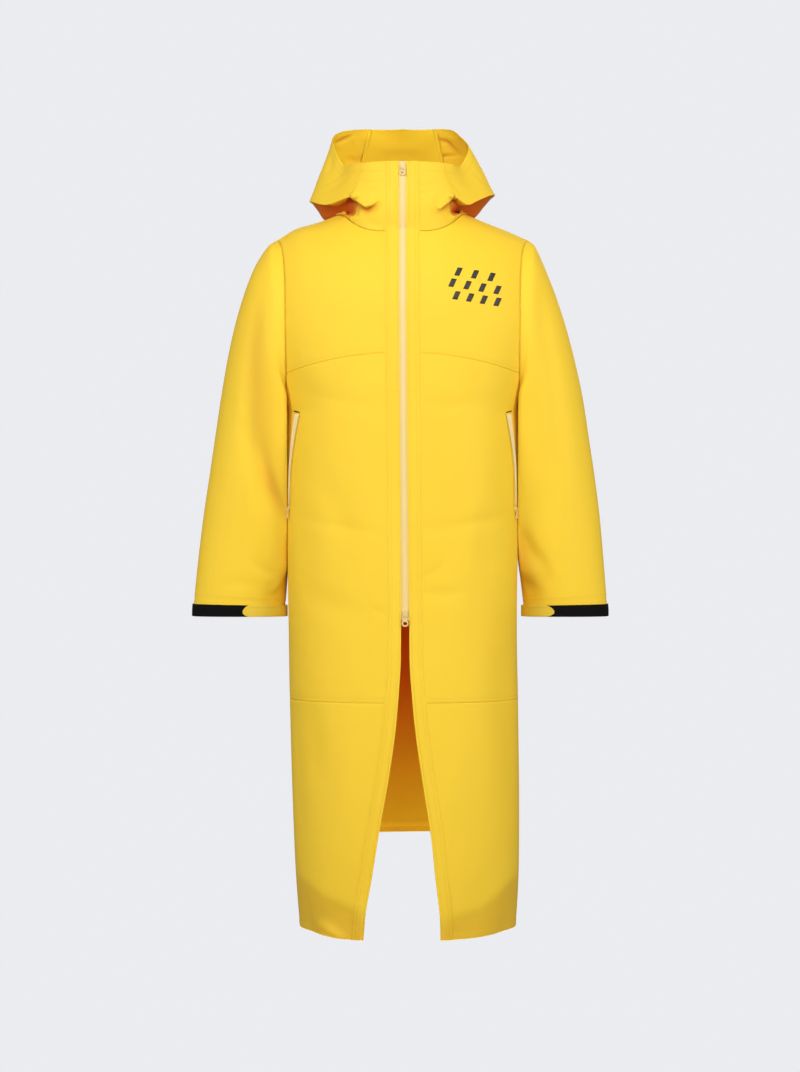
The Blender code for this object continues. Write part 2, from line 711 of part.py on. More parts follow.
def front_zip():
    profile = (
        (-TAPE_HALF, TAPE_SINK + TAPE_THICK), (-TAPE_HALF, TAPE_SINK), (-CHAIN_HALF, TAPE_SINK),
        (-CHAIN_HALF, CHAIN_SINK), (CHAIN_HALF, CHAIN_SINK), (CHAIN_HALF, TAPE_SINK),
        (TAPE_HALF, TAPE_SINK), (TAPE_HALF, TAPE_SINK + TAPE_THICK),
    )
    sections = []
    line = front_line()
    line[-1] = (line[-1][0], line[-1][1] - CLOTH)
    for i, (y, z) in enumerate(line):
        before, after = line[max(i - 1, 0)], line[min(i + 1, len(line) - 1)]
        slope = (after[0] - before[0]) / (after[1] - before[1])
        inward = Vector((0, 1, -slope)).normalized()
        shift = column(FRONT_OPENING, "drift", z)
        sections.append([Vector((x + shift, y, z)) + inward * sink for x, sink in profile])
    loft("front_zip", sections, CREAM)


def pocket_point(side, z, across, out):
    """Point on the front panel by the pocket zip, moved sideways and out."""
    angle = oval_angle(column(POCKET, "share", z))
    here = level_point(side, -1, z, angle)
    ahead = level_point(side, -1, z, angle + 0.02)
    along = (ahead - here).normalized()
    normal = Vector((-along.y, along.x, 0)) * -side
    if normal.x * side < 0:
        normal.negate()
    return here + along * across + normal * out, normal


def pocket(side, word):
    bottom, top = POCKET[0]["z"], POCKET[-1]["z"]
    corners = ((-POCKET_HALF, LAY), (POCKET_HALF, LAY),
               (POCKET_HALF, LAY + POCKET_THICK), (-POCKET_HALF, LAY + POCKET_THICK))
    sections = [[pocket_point(side, mix(bottom, top, t), across, out)[0] for across, out in corners]
                for t in steps(12)]
    loft("pocket_zip_" + word, sections, CREAM)

    bar = ((-BAR_HALF, LAY), (0.0, LAY), (BAR_HALF, LAY),
           (BAR_HALF, LAY + BAR_THICK), (0.0, LAY + BAR_THICK), (-BAR_HALF, LAY + BAR_THICK))
    low = top + LAY * 3 + BAR_LIFT
    sections = [[pocket_point(side, z, across, out)[0] - Vector((0, 0, abs(across) * BAR_LEAN))
                 for across, out in bar] for z in (low, low + BAR_TALL)]
    loft("pocket_bar_" + word, sections, BLACK)

    point, normal = pocket_point(side, POCKET_SLIDER_Z, 0.0, LAY)
    slider("pocket_slider_" + word, "pocket_pull_" + word, point, normal,
           POCKET_SCALE, POCKET_PULL_LENGTH, POCKET_PULL_RING)


# ---------------------------------------------------------------- sliders and pulls

def box(name, size, place, collect):
    """Box of a size around a place, from a cube primitive."""
    mesh = bpy.data.meshes.new(name)
    work = bmesh.new()
    bmesh.ops.create_cube(work, size=1.0)
    bmesh.ops.scale(work, vec=size, verts=work.verts)
    bmesh.ops.translate(work, vec=place, verts=work.verts)
    work.to_mesh(mesh)
    work.free()
    made = bpy.data.objects.new(name, mesh)
    collect.objects.link(made)
    return made


def cut(target, tool, operation):
    tool.hide_render = True
    tool.display_type = "WIRE"
    change = target.modifiers.new(operation.lower(), "BOOLEAN")
    change.operation = operation
    change.object = tool


def outward_matrix(place, normal):
    """Frame with -Y along the normal and +Z up, at a place."""
    away = -normal.normalized()
    side = away.cross(Vector((0, 0, 1))).normalized()
    frame = Matrix((side, away, Vector((0, 0, 1)))).transposed().to_4x4()
    return Matrix.Translation(place) @ frame


def slider(name, pull_name, place, normal, scale, length, ring):
    """Slider body with a bridge, and the pull tab whose top bar passes under the bridge."""
    thick = SLIDER_THICK * scale
    body = box(name, (SLIDER_WIDE * scale, thick, SLIDER_TALL * scale), (0, -thick / 2, 0), parts)
    body.data.materials.append(material(name + "_material", PULL_CREAM, 0.45))
    edges = body.modifiers.new("edges", "BEVEL")
    edges.width = SLIDER_EDGE
    edges.segments = 1
    pin_z = -PIN_DROP * scale
    deep = BRIDGE_RISE + thick / 2
    bridge = box(name + "_bridge", (BRIDGE_WIDE, deep, BRIDGE_TALL),
                 (0, -(thick + deep) / 2, pin_z), cutters)
    axis = -thick - BRIDGE_HOLE / 2
    through = box(name + "_hole", (BRIDGE_WIDE * 3, BRIDGE_HOLE, BRIDGE_HOLE),
                  (0, axis, pin_z), cutters)
    cut(body, bridge, "UNION")
    cut(body, through, "DIFFERENCE")
    frame = outward_matrix(place, normal)
    for made in (body, bridge, through):
        made.matrix_world = frame

    pull = pull_tab(pull_name, length, ring)
    pull.matrix_world = frame @ Matrix.Translation((0, axis, pin_z))


def pull_tab(name, length, ring):
    """Flat tab with a bar and window at the top and an oval ring below, axis at its origin."""
    outline = bpy.data.curves.new(name, "CURVE")
    outline.dimensions = "2D"
    outline.fill_mode = "BOTH"
    outline.extrude = PULL_THICK / 2
    neck = WINDOW_HALF + RAIL
    ring_z = -length + ring * RING_FLAT
    shape = [(-neck, PULL_BAR), (neck, PULL_BAR), (neck, -WINDOW_DROP - RAIL)]
    for degrees in range(50, -231, -20):
        turn = math.radians(degrees)
        shape.append((ring * math.cos(turn), ring_z + ring * RING_FLAT * math.sin(turn)))
    shape.append((-neck, -WINDOW_DROP - RAIL))
    window = [(-WINDOW_HALF, -PULL_BAR), (WINDOW_HALF, -PULL_BAR),
              (WINDOW_HALF, -WINDOW_DROP), (-WINDOW_HALF, -WINDOW_DROP)]
    eye = []
    for degrees in range(0, 360, 30):
        turn = math.radians(degrees)
        eye.append((ring * EYE_WIDE * math.cos(turn), ring_z + ring * EYE_TALL * math.sin(turn)))
    for points in (shape, window, eye):
        spline = outline.splines.new("POLY")
        spline.points.add(len(points) - 1)
        for target, (x, z) in zip(spline.points, points):
            target.co = (x, z, 0.0, 1.0)
        spline.use_cyclic_u = True
    flat = bpy.data.objects.new(name + "_outline", outline)
    parts.objects.link(flat)
    bpy.context.view_layer.update()
    mesh = bpy.data.meshes.new_from_object(flat.evaluated_get(bpy.context.evaluated_depsgraph_get()))
    bpy.data.objects.remove(flat)
    work = bmesh.new()
    work.from_mesh(mesh)
    bmesh.ops.remove_doubles(work, verts=work.verts, dist=0.00002)
    bmesh.ops.rotate(work, verts=work.verts, matrix=Matrix.Rotation(math.pi / 2, 3, "X"))
    bmesh.ops.recalc_face_normals(work, faces=work.faces)
    work.to_mesh(mesh)
    work.free()
    mesh.materials.clear()
    return new_object(name, mesh, PULL_CREAM, 0.45)


for old in list(bpy.data.objects):
    bpy.data.objects.remove(old)
parts = collection("hooded_raincoat")
cutters = collection("cutters")

for part_side, part_word in ((-1, "left"), (1, "right")):
    front_panels(part_side, part_word)
    sleeves(part_side, part_word)
    hood(part_side, part_word)
    pocket(part_side, part_word)
back_panel()
hood_centre()
front_zip()
for entry in SLIDERS:
    seat = Vector((column(FRONT_OPENING, "drift", entry["z"]), front_depth(entry["z"]) - LAY, entry["z"]))
    slider(entry["name"], entry["pull"], seat, Vector((0, -1, 0)),
           entry["scale"], entry["length"], entry["ring"])
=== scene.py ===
import math

import bmesh
import bpy
import numpy as np
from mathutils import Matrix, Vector


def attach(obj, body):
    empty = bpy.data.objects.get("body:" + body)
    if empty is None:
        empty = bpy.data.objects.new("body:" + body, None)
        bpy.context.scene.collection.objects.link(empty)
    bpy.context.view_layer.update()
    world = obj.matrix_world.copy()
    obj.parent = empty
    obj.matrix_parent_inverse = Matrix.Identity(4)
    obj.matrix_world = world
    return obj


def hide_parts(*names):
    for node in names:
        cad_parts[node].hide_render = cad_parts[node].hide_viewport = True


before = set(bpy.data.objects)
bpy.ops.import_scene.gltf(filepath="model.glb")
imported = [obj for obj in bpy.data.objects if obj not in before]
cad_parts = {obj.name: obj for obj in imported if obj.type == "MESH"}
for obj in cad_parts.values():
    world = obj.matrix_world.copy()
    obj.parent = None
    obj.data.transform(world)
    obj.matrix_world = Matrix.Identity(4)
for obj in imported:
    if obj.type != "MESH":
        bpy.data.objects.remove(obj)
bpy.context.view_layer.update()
print("frame loaded:", len(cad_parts), "nodes")

# The front faces -Y, the viewer's left is -X and the origin is inside the neck. All in metres.
sides = ((-1, "left"), (1, "right"))

# the coat's own form, the same sizes as its solids
coat = {
    "oval": 2.4, "armZ": -0.180, "armRise": 0.152, "armDepth": 0.085,
    "shoulderX": 0.2215, "shoulderSlope": 0.412,
    "arch": {-1: 0.0062, 1: 0.0010}, "archLean": 1.9,
    "chestShare": 0.91, "chestBend": 1.6, "chestTurn": 2.5, "evenOver": 0.25,
    "neckX": 0.105, "neckFront": 0.1002, "neckBack": 0.080, "neckOval": 2.6, "neckSeam": 0.0009,
    "kneeZ": -0.828, "yokeCentreZ": -0.234, "yokeSideZ": -0.270, "slitZ": -0.688,
    "hemFrontZ": -1.231, "hemSideZ": -1.225, "hemBackZ": -1.077, "hemTilt": 0.012, "hemReach": 1.35,
    "neckSteps": 9, "shoulderSteps": 5, "foldFade": 15, "foldShare": 0.55, "seam": 0.0004,
    "wall": 0.0011,           # cloth thickness that shows at an edge
    # the inside's painted shade: where it rises and where it fades out, each with its length
    "insideShadeFrom": (-1.06, 0.34), "insideShadeTo": (-0.34, 0.25),   # where the inside has its deep shade
}
columnsAll = coat["neckSteps"] + coat["shoulderSteps"]

torso = {
    "z": (-1.260, -1.146, -1.006, -0.831, -0.690, -0.500, -0.400, -0.332, -0.250, -0.180),
    "half": (0.1860, 0.1940, 0.1978, 0.1995, 0.1995, 0.2025, 0.2030, 0.2020, 0.2005, 0.2015),
    "shift": (0.0095, 0.0085, 0.0060, 0.0026, 0.0003, 0, 0, 0, 0, 0),
    "front": (0.131, 0.133, 0.134, 0.134, 0.133, 0.133, 0.134, 0.135, 0.136, 0.135),
    "back": (0.118, 0.121, 0.123, 0.124, 0.124, 0.124, 0.125, 0.126, 0.127, 0.126),
}
opening = {
    "z": (-1.260, -1.184, -1.126, -1.047, -0.957, -0.868, -0.804, -0.762, -0.690, -0.640, -0.420, -0.150),
    "gap": (0.0690, 0.0628, 0.0541, 0.0435, 0.0284, 0.0159, 0.0104, 0.0076, 0.0069, 0.0062, 0.0062, 0.0062),
    "drift": (-0.0035, -0.0012, 0.0010, 0.0036, 0.0047, 0.0047, 0.0045, 0.0044, 0.0043, 0.0040, 0.0020, 0),
}
# side, height, angle from the front, lean, tall, wide, depth outwards
torsoFolds = (
    (-1, -0.300, 50, 120, 0.070, 12, -0.0030), (-1, -0.520, 26, -60, 0.090, 9, -0.0035),
    (-1, -0.600, 62, 50, 0.120, 10, 0.0035), (-1, -0.950, 66, 20, 0.160, 10, -0.0050),
    (-1, -1.180, 30, -90, 0.060, 12, -0.0060), (1, -0.440, 58, -70, 0.090, 10, -0.0035),
    (1, -0.560, 30, 60, 0.110, 9, 0.0030), (1, -0.900, 62, -25, 0.150, 11, -0.0045),
    (1, -1.190, 34, 80, 0.060, 12, -0.0055), (-1, -0.620, 135, 30, 0.200, 11, -0.0060),
    (1, -0.700, 142, -20, 0.220, 12, -0.0060), (-1, -0.900, 165, 8, 0.160, 9, 0.0050),
    (1, -0.330, 150, 60, 0.080, 12, -0.0040),
)
sleeve = {
    "innerLeft": (0.2025, 0.2030, 0.2033, 0.2035, 0.2035, 0.2030, 0.2026, 0.2024, 0.2018, 0.2012, 0.2030,
                  0.2058, 0.2060),
    "innerRight": (0.2025, 0.2030, 0.2033, 0.2035, 0.2035, 0.2030, 0.2026, 0.2024, 0.2018, 0.2035, 0.2085,
                   0.2125, 0.2130),
    "innerZ": (-0.332, -0.342, -0.358, -0.379, -0.404, -0.434, -0.469, -0.508, -0.548, -0.588, -0.628,
               -0.665, -0.685),
    "outerLeft": (0.2220, 0.2370, 0.2590, 0.2770, 0.2935, 0.3070, 0.3184, 0.3290, 0.3395, 0.3500, 0.3592,
                  0.3670, 0.3680),
    "outerRight": (0.2220, 0.2330, 0.2490, 0.2670, 0.2855, 0.3018, 0.3162, 0.3272, 0.3378, 0.3468, 0.3535,
                   0.3595, 0.3605),
    "outerZ": (-0.028, -0.040, -0.075, -0.120, -0.175, -0.235, -0.300, -0.370, -0.440, -0.510, -0.585,
               -0.662, -0.685),
    "deep": (0.085, 0.087, 0.088, 0.087, 0.085, 0.082, 0.078, 0.073, 0.067, 0.060, 0.052, 0.044, 0.042),
    "y": (0, 0.001, 0.004, 0.008, 0.012, 0.015, 0.018, 0.020, 0.022, 0.023, 0.023, 0.023, 0.023),
    "armRing": 0.5, "cuffRing": 11, "fuller": 0.05, "fullRing": 4, "armSeam": 0.0006,
    "foldShare": 0.42, "startFade": 1.5, "cuffFade": 1.2,
    # swell beside the body: depth, angle, width, then the rings where it starts and ends and over how many
    "hug": 0.0045, "hugAngle": 36, "hugWide": 20, "hugFrom": (1.5, 2), "hugTo": (9.6, 1.5),
    "folds": (  # side, ring, angle, to ring, to angle, wide, depth
        (-1, 2.6, 118, 6.0, 92, 15, -0.0070), (-1, 6.0, 92, 9.4, 34, 14, -0.0080),
        (-1, 3.5, 262, 8.0, 285, 16, -0.0070), (-1, 8.5, 215, 10.5, 250, 14, -0.0045),
        (1, 2.8, 112, 6.5, 96, 15, -0.0060), (1, 7.6, 70, 10.8, 40, 16, -0.0075),
        (1, 4.0, 265, 8.6, 288, 16, -0.0070), (1, 8.0, 220, 10.4, 245, 14, -0.0045),
    ),
}
hood = {
    "angles": (0, 50, 73, 98, 132, 180),
    "reach": ((0.1025, 0.1145, 0.121, 0.139, 0.138, 0.128), (0.1020, 0.1180, 0.138, 0.1655, 0.175, 0.168),
              (0.1010, 0.1110, 0.119, 0.143, 0.156, 0.147), (0.1000, 0.1070, 0.1055, 0.119, 0.124, 0.098)),
    "z": ((0.004, 0.010, 0.0155, 0.0125, 0.016, 0.018), (0.035, 0.038, 0.030, 0.045, 0.046, 0.044),
          (0.070, 0.070, 0.070, 0.100, 0.117, 0.122), (0.0960, 0.0965, 0.099, 0.142, 0.180, 0.186)),
    "collarSeam": (56, 52, 50, 44, 41), "centreSeam": 152,
    # the sharp fold over the collar and the recess under it, with the recess's painted shade, by angle
    "fold": {
        "level": 2, "near": (1.1, 0.6), "lip": 0.09, "floor": 0.55,
        "shadeLip": 0.08, "shadeBelow": 0.15, "shadeOver": 0.4,
        "angles": (0, 40, 48, 58, 72, 88, 100, 120, 150, 180),
        "shade": (0, 0, 0.5, 1, 1, 1, 0.9, 0.5, 0.2, 0.2),
        "crisp": (0, 0, 0.6, 1, 1, 1, 1, 0.8, 0.6, 0.6),
        "bottom": (0.6, 0.6, 0.6, 0.7, 0.55, 0.3, 0.3, 0.5, 0.6, 0.6),
        "recess": {-1: (0, 0, 0.009, 0.017, 0.024, 0.020, 0.004, 0.003, 0.004, 0.004),
                   1: (0, 0, 0.006, 0.016, 0.024, 0.020, 0.004, 0.003, 0.005, 0.005)},
    },
    # how one side differs: side, ring, angle, wide, reach, z
    "changes": ((-1, 3, 114, 20, 0.0095, 0.003), (-1, 0, 96, 24, 0.0030, 0), (1, 1, 98, 34, -0.0010, 0.011),
                (1, 0, 94, 28, -0.0080, 0.005), (1, 2, 100, 30, -0.0010, 0.004),
                (1, 1, 60, 8, 0.0040, -0.0105), (1, 1, 82, 12, 0, 0.0030), (1, 3, 118, 15, -0.0110, 0.000),
                (1, 2, 108, 22, -0.0040, 0), (1, 3, 146, 12, 0.0050, 0.002),
                (-1, 3, 146, 10, 0.0030, 0.001)),
}
camera = {
    "x": -0.0044, "z": -0.544, "away": 4.0, "metresPerPixel": 0.00175,
    "across": 400, "down": 536, "photoTall": 1072,     # the photo's middle and height in pixels
    "sensor": 36, "farthest": 60,
}


def mix(a, b, t):
    return a + (b - a) * t


def ease(t):
    t = np.clip(t, 0, 1)
    return t * t * (3 - 2 * t)


def after(x, start, over):
    # 0 up to the start, then rising to 1
    return ease((x - start) / over)


def until(x, end, over):
    # falls from 1 to 0 at the end
    return ease((end - x) / over)


def bell(x, width):
    return np.exp(-(x / width) ** 2)


def turnedIn(distance, deep, wide):
    # an edge that turns in over a short way
    return -deep * bell(distance, wide)


def smoothBlend(t, a, b, slopeA, slopeB):
    return (a * (2 * t**3 - 3 * t**2 + 1) + b * (3 * t**2 - 2 * t**3)
            + slopeA * (t**3 - 2 * t**2 + t) + slopeB * (t**3 - t**2))


def curveAt(stops, values, at):
    # smooth curve through values at rising stops
    s, v = np.array(stops, float), np.array(values, float)
    at = np.clip(at, s[0], s[-1])
    i = np.clip(np.searchsorted(s, at, side="right") - 1, 0, len(s) - 2)
    low = np.maximum(np.arange(len(s)) - 1, 0)
    high = np.minimum(np.arange(len(s)) + 1, len(s) - 1)
    slope = (v[high] - v[low]) / (s[high] - s[low])
    span = s[i + 1] - s[i]
    return smoothBlend((at - s[i]) / span, v[i], v[i + 1], slope[i] * span, slope[i + 1] * span)


def curveThrough(values, at):
    # the same through whole arrays at 0, 1, 2 and on
    v = np.array([np.broadcast_to(x, at.shape) for x in values])
    last = len(v) - 1
    i = np.clip(np.floor(at).astype(int), 0, last - 1)

    def pick(j):
        return np.take_along_axis(v, j[None], 0)[0]

    def slope(j):
        high, low = np.minimum(j + 1, last), np.maximum(j - 1, 0)
        return (pick(high) - pick(low)) / (high - low)

    return smoothBlend(at - i, pick(i), pick(i + 1), slope(i), slope(i + 1))


def straightThrough(values, at):
    v = np.array([np.broadcast_to(x, at.shape) for x in values])
    i = np.clip(np.floor(at).astype(int), 0, len(v) - 2)
    low, high = np.take_along_axis(v, i[None], 0)[0], np.take_along_axis(v, i[None] + 1, 0)[0]
    return mix(low, high, at - i)


def joined(*parts):
    return np.stack(np.broadcast_arrays(*parts), -1)


def pastNeck(x):
    # 0 at the neck, 1 at the shoulder
    return np.maximum(0, (x - coat["neckX"]) / (coat["shoulderX"] - coat["neckX"]))


def shoulderLine(side, x):
    arch = coat["arch"][side] * np.sin(np.pi * np.minimum(pastNeck(x), 1) ** coat["archLean"]) ** 2
    return coat["armZ"] + coat["armRise"] + (coat["shoulderX"] - x) * coat["shoulderSlope"] + arch


def ovalAngle(share):
    return np.arcsin(np.clip(share, 0, 1) ** (coat["oval"] / 2))


def section(z, face):
    depth = curveAt(torso["z"], torso["front" if face < 0 else "back"], z)
    rise = (z - coat["armZ"]) / coat["armRise"]
    armhole = np.where(rise > -1, coat["armDepth"] * np.sqrt(np.maximum(0, 1 - rise**2)), 0)
    end = np.arccos((armhole / depth) ** (coat["oval"] / 2))
    half = curveAt(torso["z"], torso["half"], z) / np.sin(end) ** (2 / coat["oval"])
    return half, depth, end


def torsoFold(side, degrees, z):
    total = 0
    for foldSide, height, angle, lean, tall, wide, depth in torsoFolds:
        if foldSide == side:
            across = degrees - angle - lean * (z - height)
            total = total + depth * bell(across, wide) * bell(z - height, tall)
    return total * coat["foldShare"]


def levelPoint(side, face, z, angle):
    half, depth, _ = section(z, face)
    share = np.sin(np.maximum(angle, 0)) ** (2 / coat["oval"])
    turn = np.degrees(angle)
    bulge = torsoFold(side, turn if face < 0 else 180 - turn, z) * ease((90 - turn) / coat["foldFade"])
    shift = curveAt(torso["z"], torso["shift"], z)
    if face < 0:
        shift = shift + (curveAt(opening["z"], opening["drift"], z) - shift) * (1 - share * share)
    x = side * (half * share + bulge * np.sin(angle)) + shift
    y = face * (depth * np.maximum(np.cos(angle), 0) ** (2 / coat["oval"]) + bulge * np.cos(angle))
    return joined(x, y, z)


def topX(k, edge):
    turn = np.minimum(k / coat["neckSteps"], 1) * np.pi / 2
    inner = edge + (coat["neckX"] - edge) * np.sin(turn) ** (2 / coat["neckOval"])
    outer = mix(coat["neckX"], coat["shoulderX"], (k - coat["neckSteps"]) / coat["shoulderSteps"])
    return np.where(k <= coat["neckSteps"], inner, outer)


def chestX(x):
    return x * (1 - (1 - coat["chestShare"]) * pastNeck(x) ** coat["chestBend"])


def chestDepth(x, face):
    half, depth, _ = section(coat["armZ"], face)
    return depth * np.cos(ovalAngle(chestX(x) / half)) ** (2 / coat["oval"])


def roundingEnd(x, face):
    share = np.minimum(np.abs(x) / coat["neckX"], 1)
    neck = coat["neckFront" if face < 0 else "neckBack"]
    neck = neck * (1 - share ** coat["neckOval"]) ** (1 / coat["neckOval"])
    return np.where(x >= coat["neckX"], np.pi / 2, np.arccos(np.minimum(neck / chestDepth(x, face), 1)))


def edgeGap(face, z):
    return curveAt(opening["z"], opening["gap"], z) if face < 0 else 0 * z


def panelPoint(side, face, k, z):
    half, _, end = section(z, face)
    edge = edgeGap(face, z)
    first = ovalAngle(edge / half)
    chestHalf = section(coat["armZ"], face)[0]
    bunched = ovalAngle(chestX(topX(k, edge)) / chestHalf)
    topEnd = ovalAngle(chestX(coat["shoulderX"]) / chestHalf)
    bunched = np.where(k <= 0, first, mix(first, end, (bunched - first) / (topEnd - first)))
    angle = mix(bunched, mix(first, end, k / columnsAll), ease((coat["armZ"] - z) / coat["evenOver"]))
    return levelPoint(side, face, z, angle)


def panelOver(side, face, k, rise):
    # above the armhole's middle: rise runs from 0 there to 1 at the neck or shoulder seam
    x = topX(k, edgeGap(face, np.array(coat["armZ"])))
    turn = roundingEnd(x, face) * rise
    z = mix(coat["armZ"], shoulderLine(side, x), np.sin(turn))
    out = mix(chestX(x), x, rise ** coat["chestTurn"])
    return joined(side * out, face * chestDepth(x, face) * np.cos(turn), z)


def sleeveValue(key, ring):
    return curveAt(range(len(sleeve[key])), sleeve[key], ring)


def sleevePoint(side, ring, degrees, out=0.0):
    # angle 0 is beside the body, 90 the front, 180 the outer edge
    word = "Left" if side < 0 else "Right"
    inner = joined(side * sleeveValue("inner" + word, ring), 0 * ring, sleeveValue("innerZ", ring))
    outer = joined(side * sleeveValue("outer" + word, ring), 0 * ring, sleeveValue("outerZ", ring))
    turn = np.radians(degrees)
    middle, half = (inner + outer) / 2, (inner - outer) / 2
    deep = sleeveValue("deep", ring)
    full = 1 + sleeve["fuller"] * np.sin(2 * turn) ** 2 * ease(ring / sleeve["fullRing"])
    total = 0 * ring * turn
    for foldSide, ringA, angleA, ringB, angleB, wide, depth in sleeve["folds"]:
        if foldSide == side:
            t = (ring - ringA) / (ringB - ringA)
            near = np.clip(t, 0, 1)
            off = (degrees - mix(angleA, angleB, near) + 180) % 360 - 180
            total = total + depth * bell(off, wide) * bell((t - near) * (ringB - ringA), 1)
    fade = ease(ring / sleeve["startFade"]) * until(ring, sleeve["cuffRing"], sleeve["cuffFade"])
    around = (degrees + 180) % 360 - 180
    beside = sum(bell(around + way * sleeve["hugAngle"], sleeve["hugWide"]) for way in (-1, 1))
    swell = sleeve["hug"] * beside * after(ring, *sleeve["hugFrom"]) * until(ring, *sleeve["hugTo"])
    push = out + total * fade * sleeve["foldShare"] + swell
    length = np.linalg.norm(half, axis=-1)
    away = half * (np.cos(turn) / length**2)[..., None] - joined(0 * turn, np.sin(turn) / deep, 0 * turn)
    away /= np.linalg.norm(away, axis=-1)[..., None]
    point = middle + half * (np.cos(turn) * full)[..., None]
    point[..., 1] = sleeveValue("y", ring) - deep * full * np.sin(turn)
    return point + away * push[..., None]


def armholeRing(side, degrees):
    point = sleevePoint(side, np.zeros_like(degrees), degrees)
    rise = (point[..., 2] - coat["armZ"]) / coat["armRise"]
    top = np.arcsin(np.clip(rise, 0, 1)) / (np.pi / 2)
    share = coat["chestShare"] + (1 - coat["chestShare"]) * top ** coat["chestTurn"]
    edge = np.where(rise > 0, coat["shoulderX"] * share, curveAt(torso["z"], torso["half"], point[..., 2]))
    point[..., 0] = side * (edge + coat["seam"] + sleeve["armSeam"] * top)
    return point


def sleeveGrid(side, rings, degrees):
    ring, turn = np.meshgrid(rings, degrees, indexing="ij")
    low = np.maximum(ring, sleeve["armRing"])
    start = armholeRing(side, turn)
    return mix(start, sleevePoint(side, low, turn), np.clip(ring / sleeve["armRing"], 0, 1)[..., None])


def neckRing(degrees):
    turn = np.radians(degrees)
    sine, cosine = np.abs(np.sin(turn)), np.abs(np.cos(turn))
    depth = np.where(degrees <= 90, coat["neckFront"], coat["neckBack"])
    power = coat["neckOval"]
    reach = ((sine / coat["neckX"]) ** power + (cosine / depth) ** power) ** (-1 / power)
    x = np.minimum(reach * sine, coat["neckX"])
    end = np.where(degrees <= 90, roundingEnd(x, -1), roundingEnd(x, 1))
    return reach, mix(coat["armZ"], shoulderLine(1, x), np.sin(end)) + coat["neckSeam"]


def hoodPoint(side, degrees, level, folded=False):
    # level 0 is the neck seam, 2 the fold and 4 the rim; 0 degrees is the front centre
    reach, z = neckRing(degrees)
    reaches, heights = [reach], [z]
    for number, (reachRow, zRow) in enumerate(zip(hood["reach"], hood["z"])):
        r, h = curveAt(hood["angles"], reachRow, degrees), curveAt(hood["angles"], zRow, degrees)
        for changeSide, ring, angle, wide, addReach, addZ in hood["changes"]:
            if changeSide == side and ring == number:
                r, h = r + addReach * bell(degrees - angle, wide), h + addZ * bell(degrees - angle, wide)
        reaches.append(r)
        heights.append(h)
    reach, z = curveThrough(reaches, level), curveThrough(heights, level)
    if folded:
        # straight cloth meets in a sharp fold, with a recess under it
        fold = hood["fold"]
        crisp = curveAt(fold["angles"], fold["crisp"], degrees)
        near = until(np.abs(level - fold["level"]), *fold["near"]) * crisp
        reach = mix(reach, straightThrough(reaches, level), near)
        z = mix(z, straightThrough(heights, level), near)
        bottom = curveAt(fold["angles"], fold["bottom"], degrees)
        shape = until(level, fold["level"], fold["lip"]) * after(level, bottom, fold["floor"])
        reach = reach - curveAt(fold["angles"], fold["recess"][side], degrees) * shape
    turn = np.radians(degrees)
    return joined(side * reach * np.sin(turn), -reach * np.cos(turn), z)


# tools for grids of points

def toPhoto(points):
    # where a point shows in the photo, in its own pixels
    scale = camera["away"] / (camera["away"] + points[..., 1]) / camera["metresPerPixel"]
    return (camera["across"] + (points[..., 0] - camera["x"]) * scale,
            camera["down"] - (points[..., 2] - camera["z"]) * scale)


def normalsOf(grid, flip=False, wrap=False):
    across = np.roll(grid, -1, 1) - np.roll(grid, 1, 1) if wrap else np.gradient(grid, axis=1)
    normal = np.cross(across, np.gradient(grid, axis=0))
    normal /= np.maximum(np.linalg.norm(normal, axis=-1), 1e-12)[..., None]
    return -normal if flip else normal


def distances(grid, axis, fromEnd=False):
    # distance along the cloth from the first or last row or column
    step = np.linalg.norm(np.diff(grid, axis=axis), axis=-1)
    zero = np.zeros_like(np.take(step, [0], axis))
    total = np.concatenate([zero, np.cumsum(step, axis)], axis)
    return np.take(total, [-1], axis) - total if fromEnd else total


# share of the width on a steep flank, and how a crease runs out at its ends
creaseForm = {"flank": 0.55, "ends": (0.02, 0.98), "taper": 0.6}
# how much wider the upper side is, where a cliff fades out and in along its line, its step in pixels
cliffForm = {"wider": 1.3, "fadeOut": 0.55, "fadeIn": (-0.02, 0.14), "step": (-0.5, 1.0)}


def nearestOn(px, py, points):
    # distance from a line, share of the way along it, and a value whose sign is the side
    best = np.full(px.shape, 1e9)
    part, across = np.zeros_like(px), np.zeros_like(px)
    lengths = [math.dist(a, b) for a, b in zip(points, points[1:])]
    whole, before = sum(lengths), 0
    for a, b, length in zip(points, points[1:], lengths):
        dx, dy = (b[0] - a[0]) / length, (b[1] - a[1]) / length
        s = np.clip((px - a[0]) * dx + (py - a[1]) * dy, 0, length)
        offX, offY = px - a[0] - s * dx, py - a[1] - s * dy
        off = np.hypot(offX, offY)
        closer = off < best
        best = np.where(closer, off, best)
        part = np.where(closer, (before + s) / whole, part)
        across = np.where(closer, offX * -dy + offY * dx, across)
        before += length
    return best, part, across


def strokeDepth(px, py, strokes):
    # creases as lines in the photo's pixels: points, width, depth, and the side of a steep flank if any
    total = np.zeros_like(px)
    for points, width, depth, *steep in strokes:
        off, part, across = nearestOn(px, py, points)
        taper = np.sin(np.pi * np.clip(part, *creaseForm["ends"])) ** creaseForm["taper"]
        side = width * np.where(across * steep[0] > 0, creaseForm["flank"], 1.0) if steep else width
        total += depth * bell(off, side) * taper
    return total


def cliffDepth(px, py, cliffs):
    # lines in the photo's pixels where one side stands over the other: (points, over, under, wide, side)
    total = np.zeros_like(px)
    for points, over, under, wide, steep in cliffs:
        off, part, across = nearestOn(px, py, points)
        signed = np.where(across > 0, off, -off) * steep
        taper = until(part, 1, cliffForm["fadeOut"]) * after(part, *cliffForm["fadeIn"])
        upper, lower = over * bell(off, wide * cliffForm["wider"]), -under * bell(off, wide)
        total += taper * mix(upper, lower, after(signed, *cliffForm["step"]))
    return total


def pushed(grid, normal, amount):
    return grid + normal * amount[..., None]


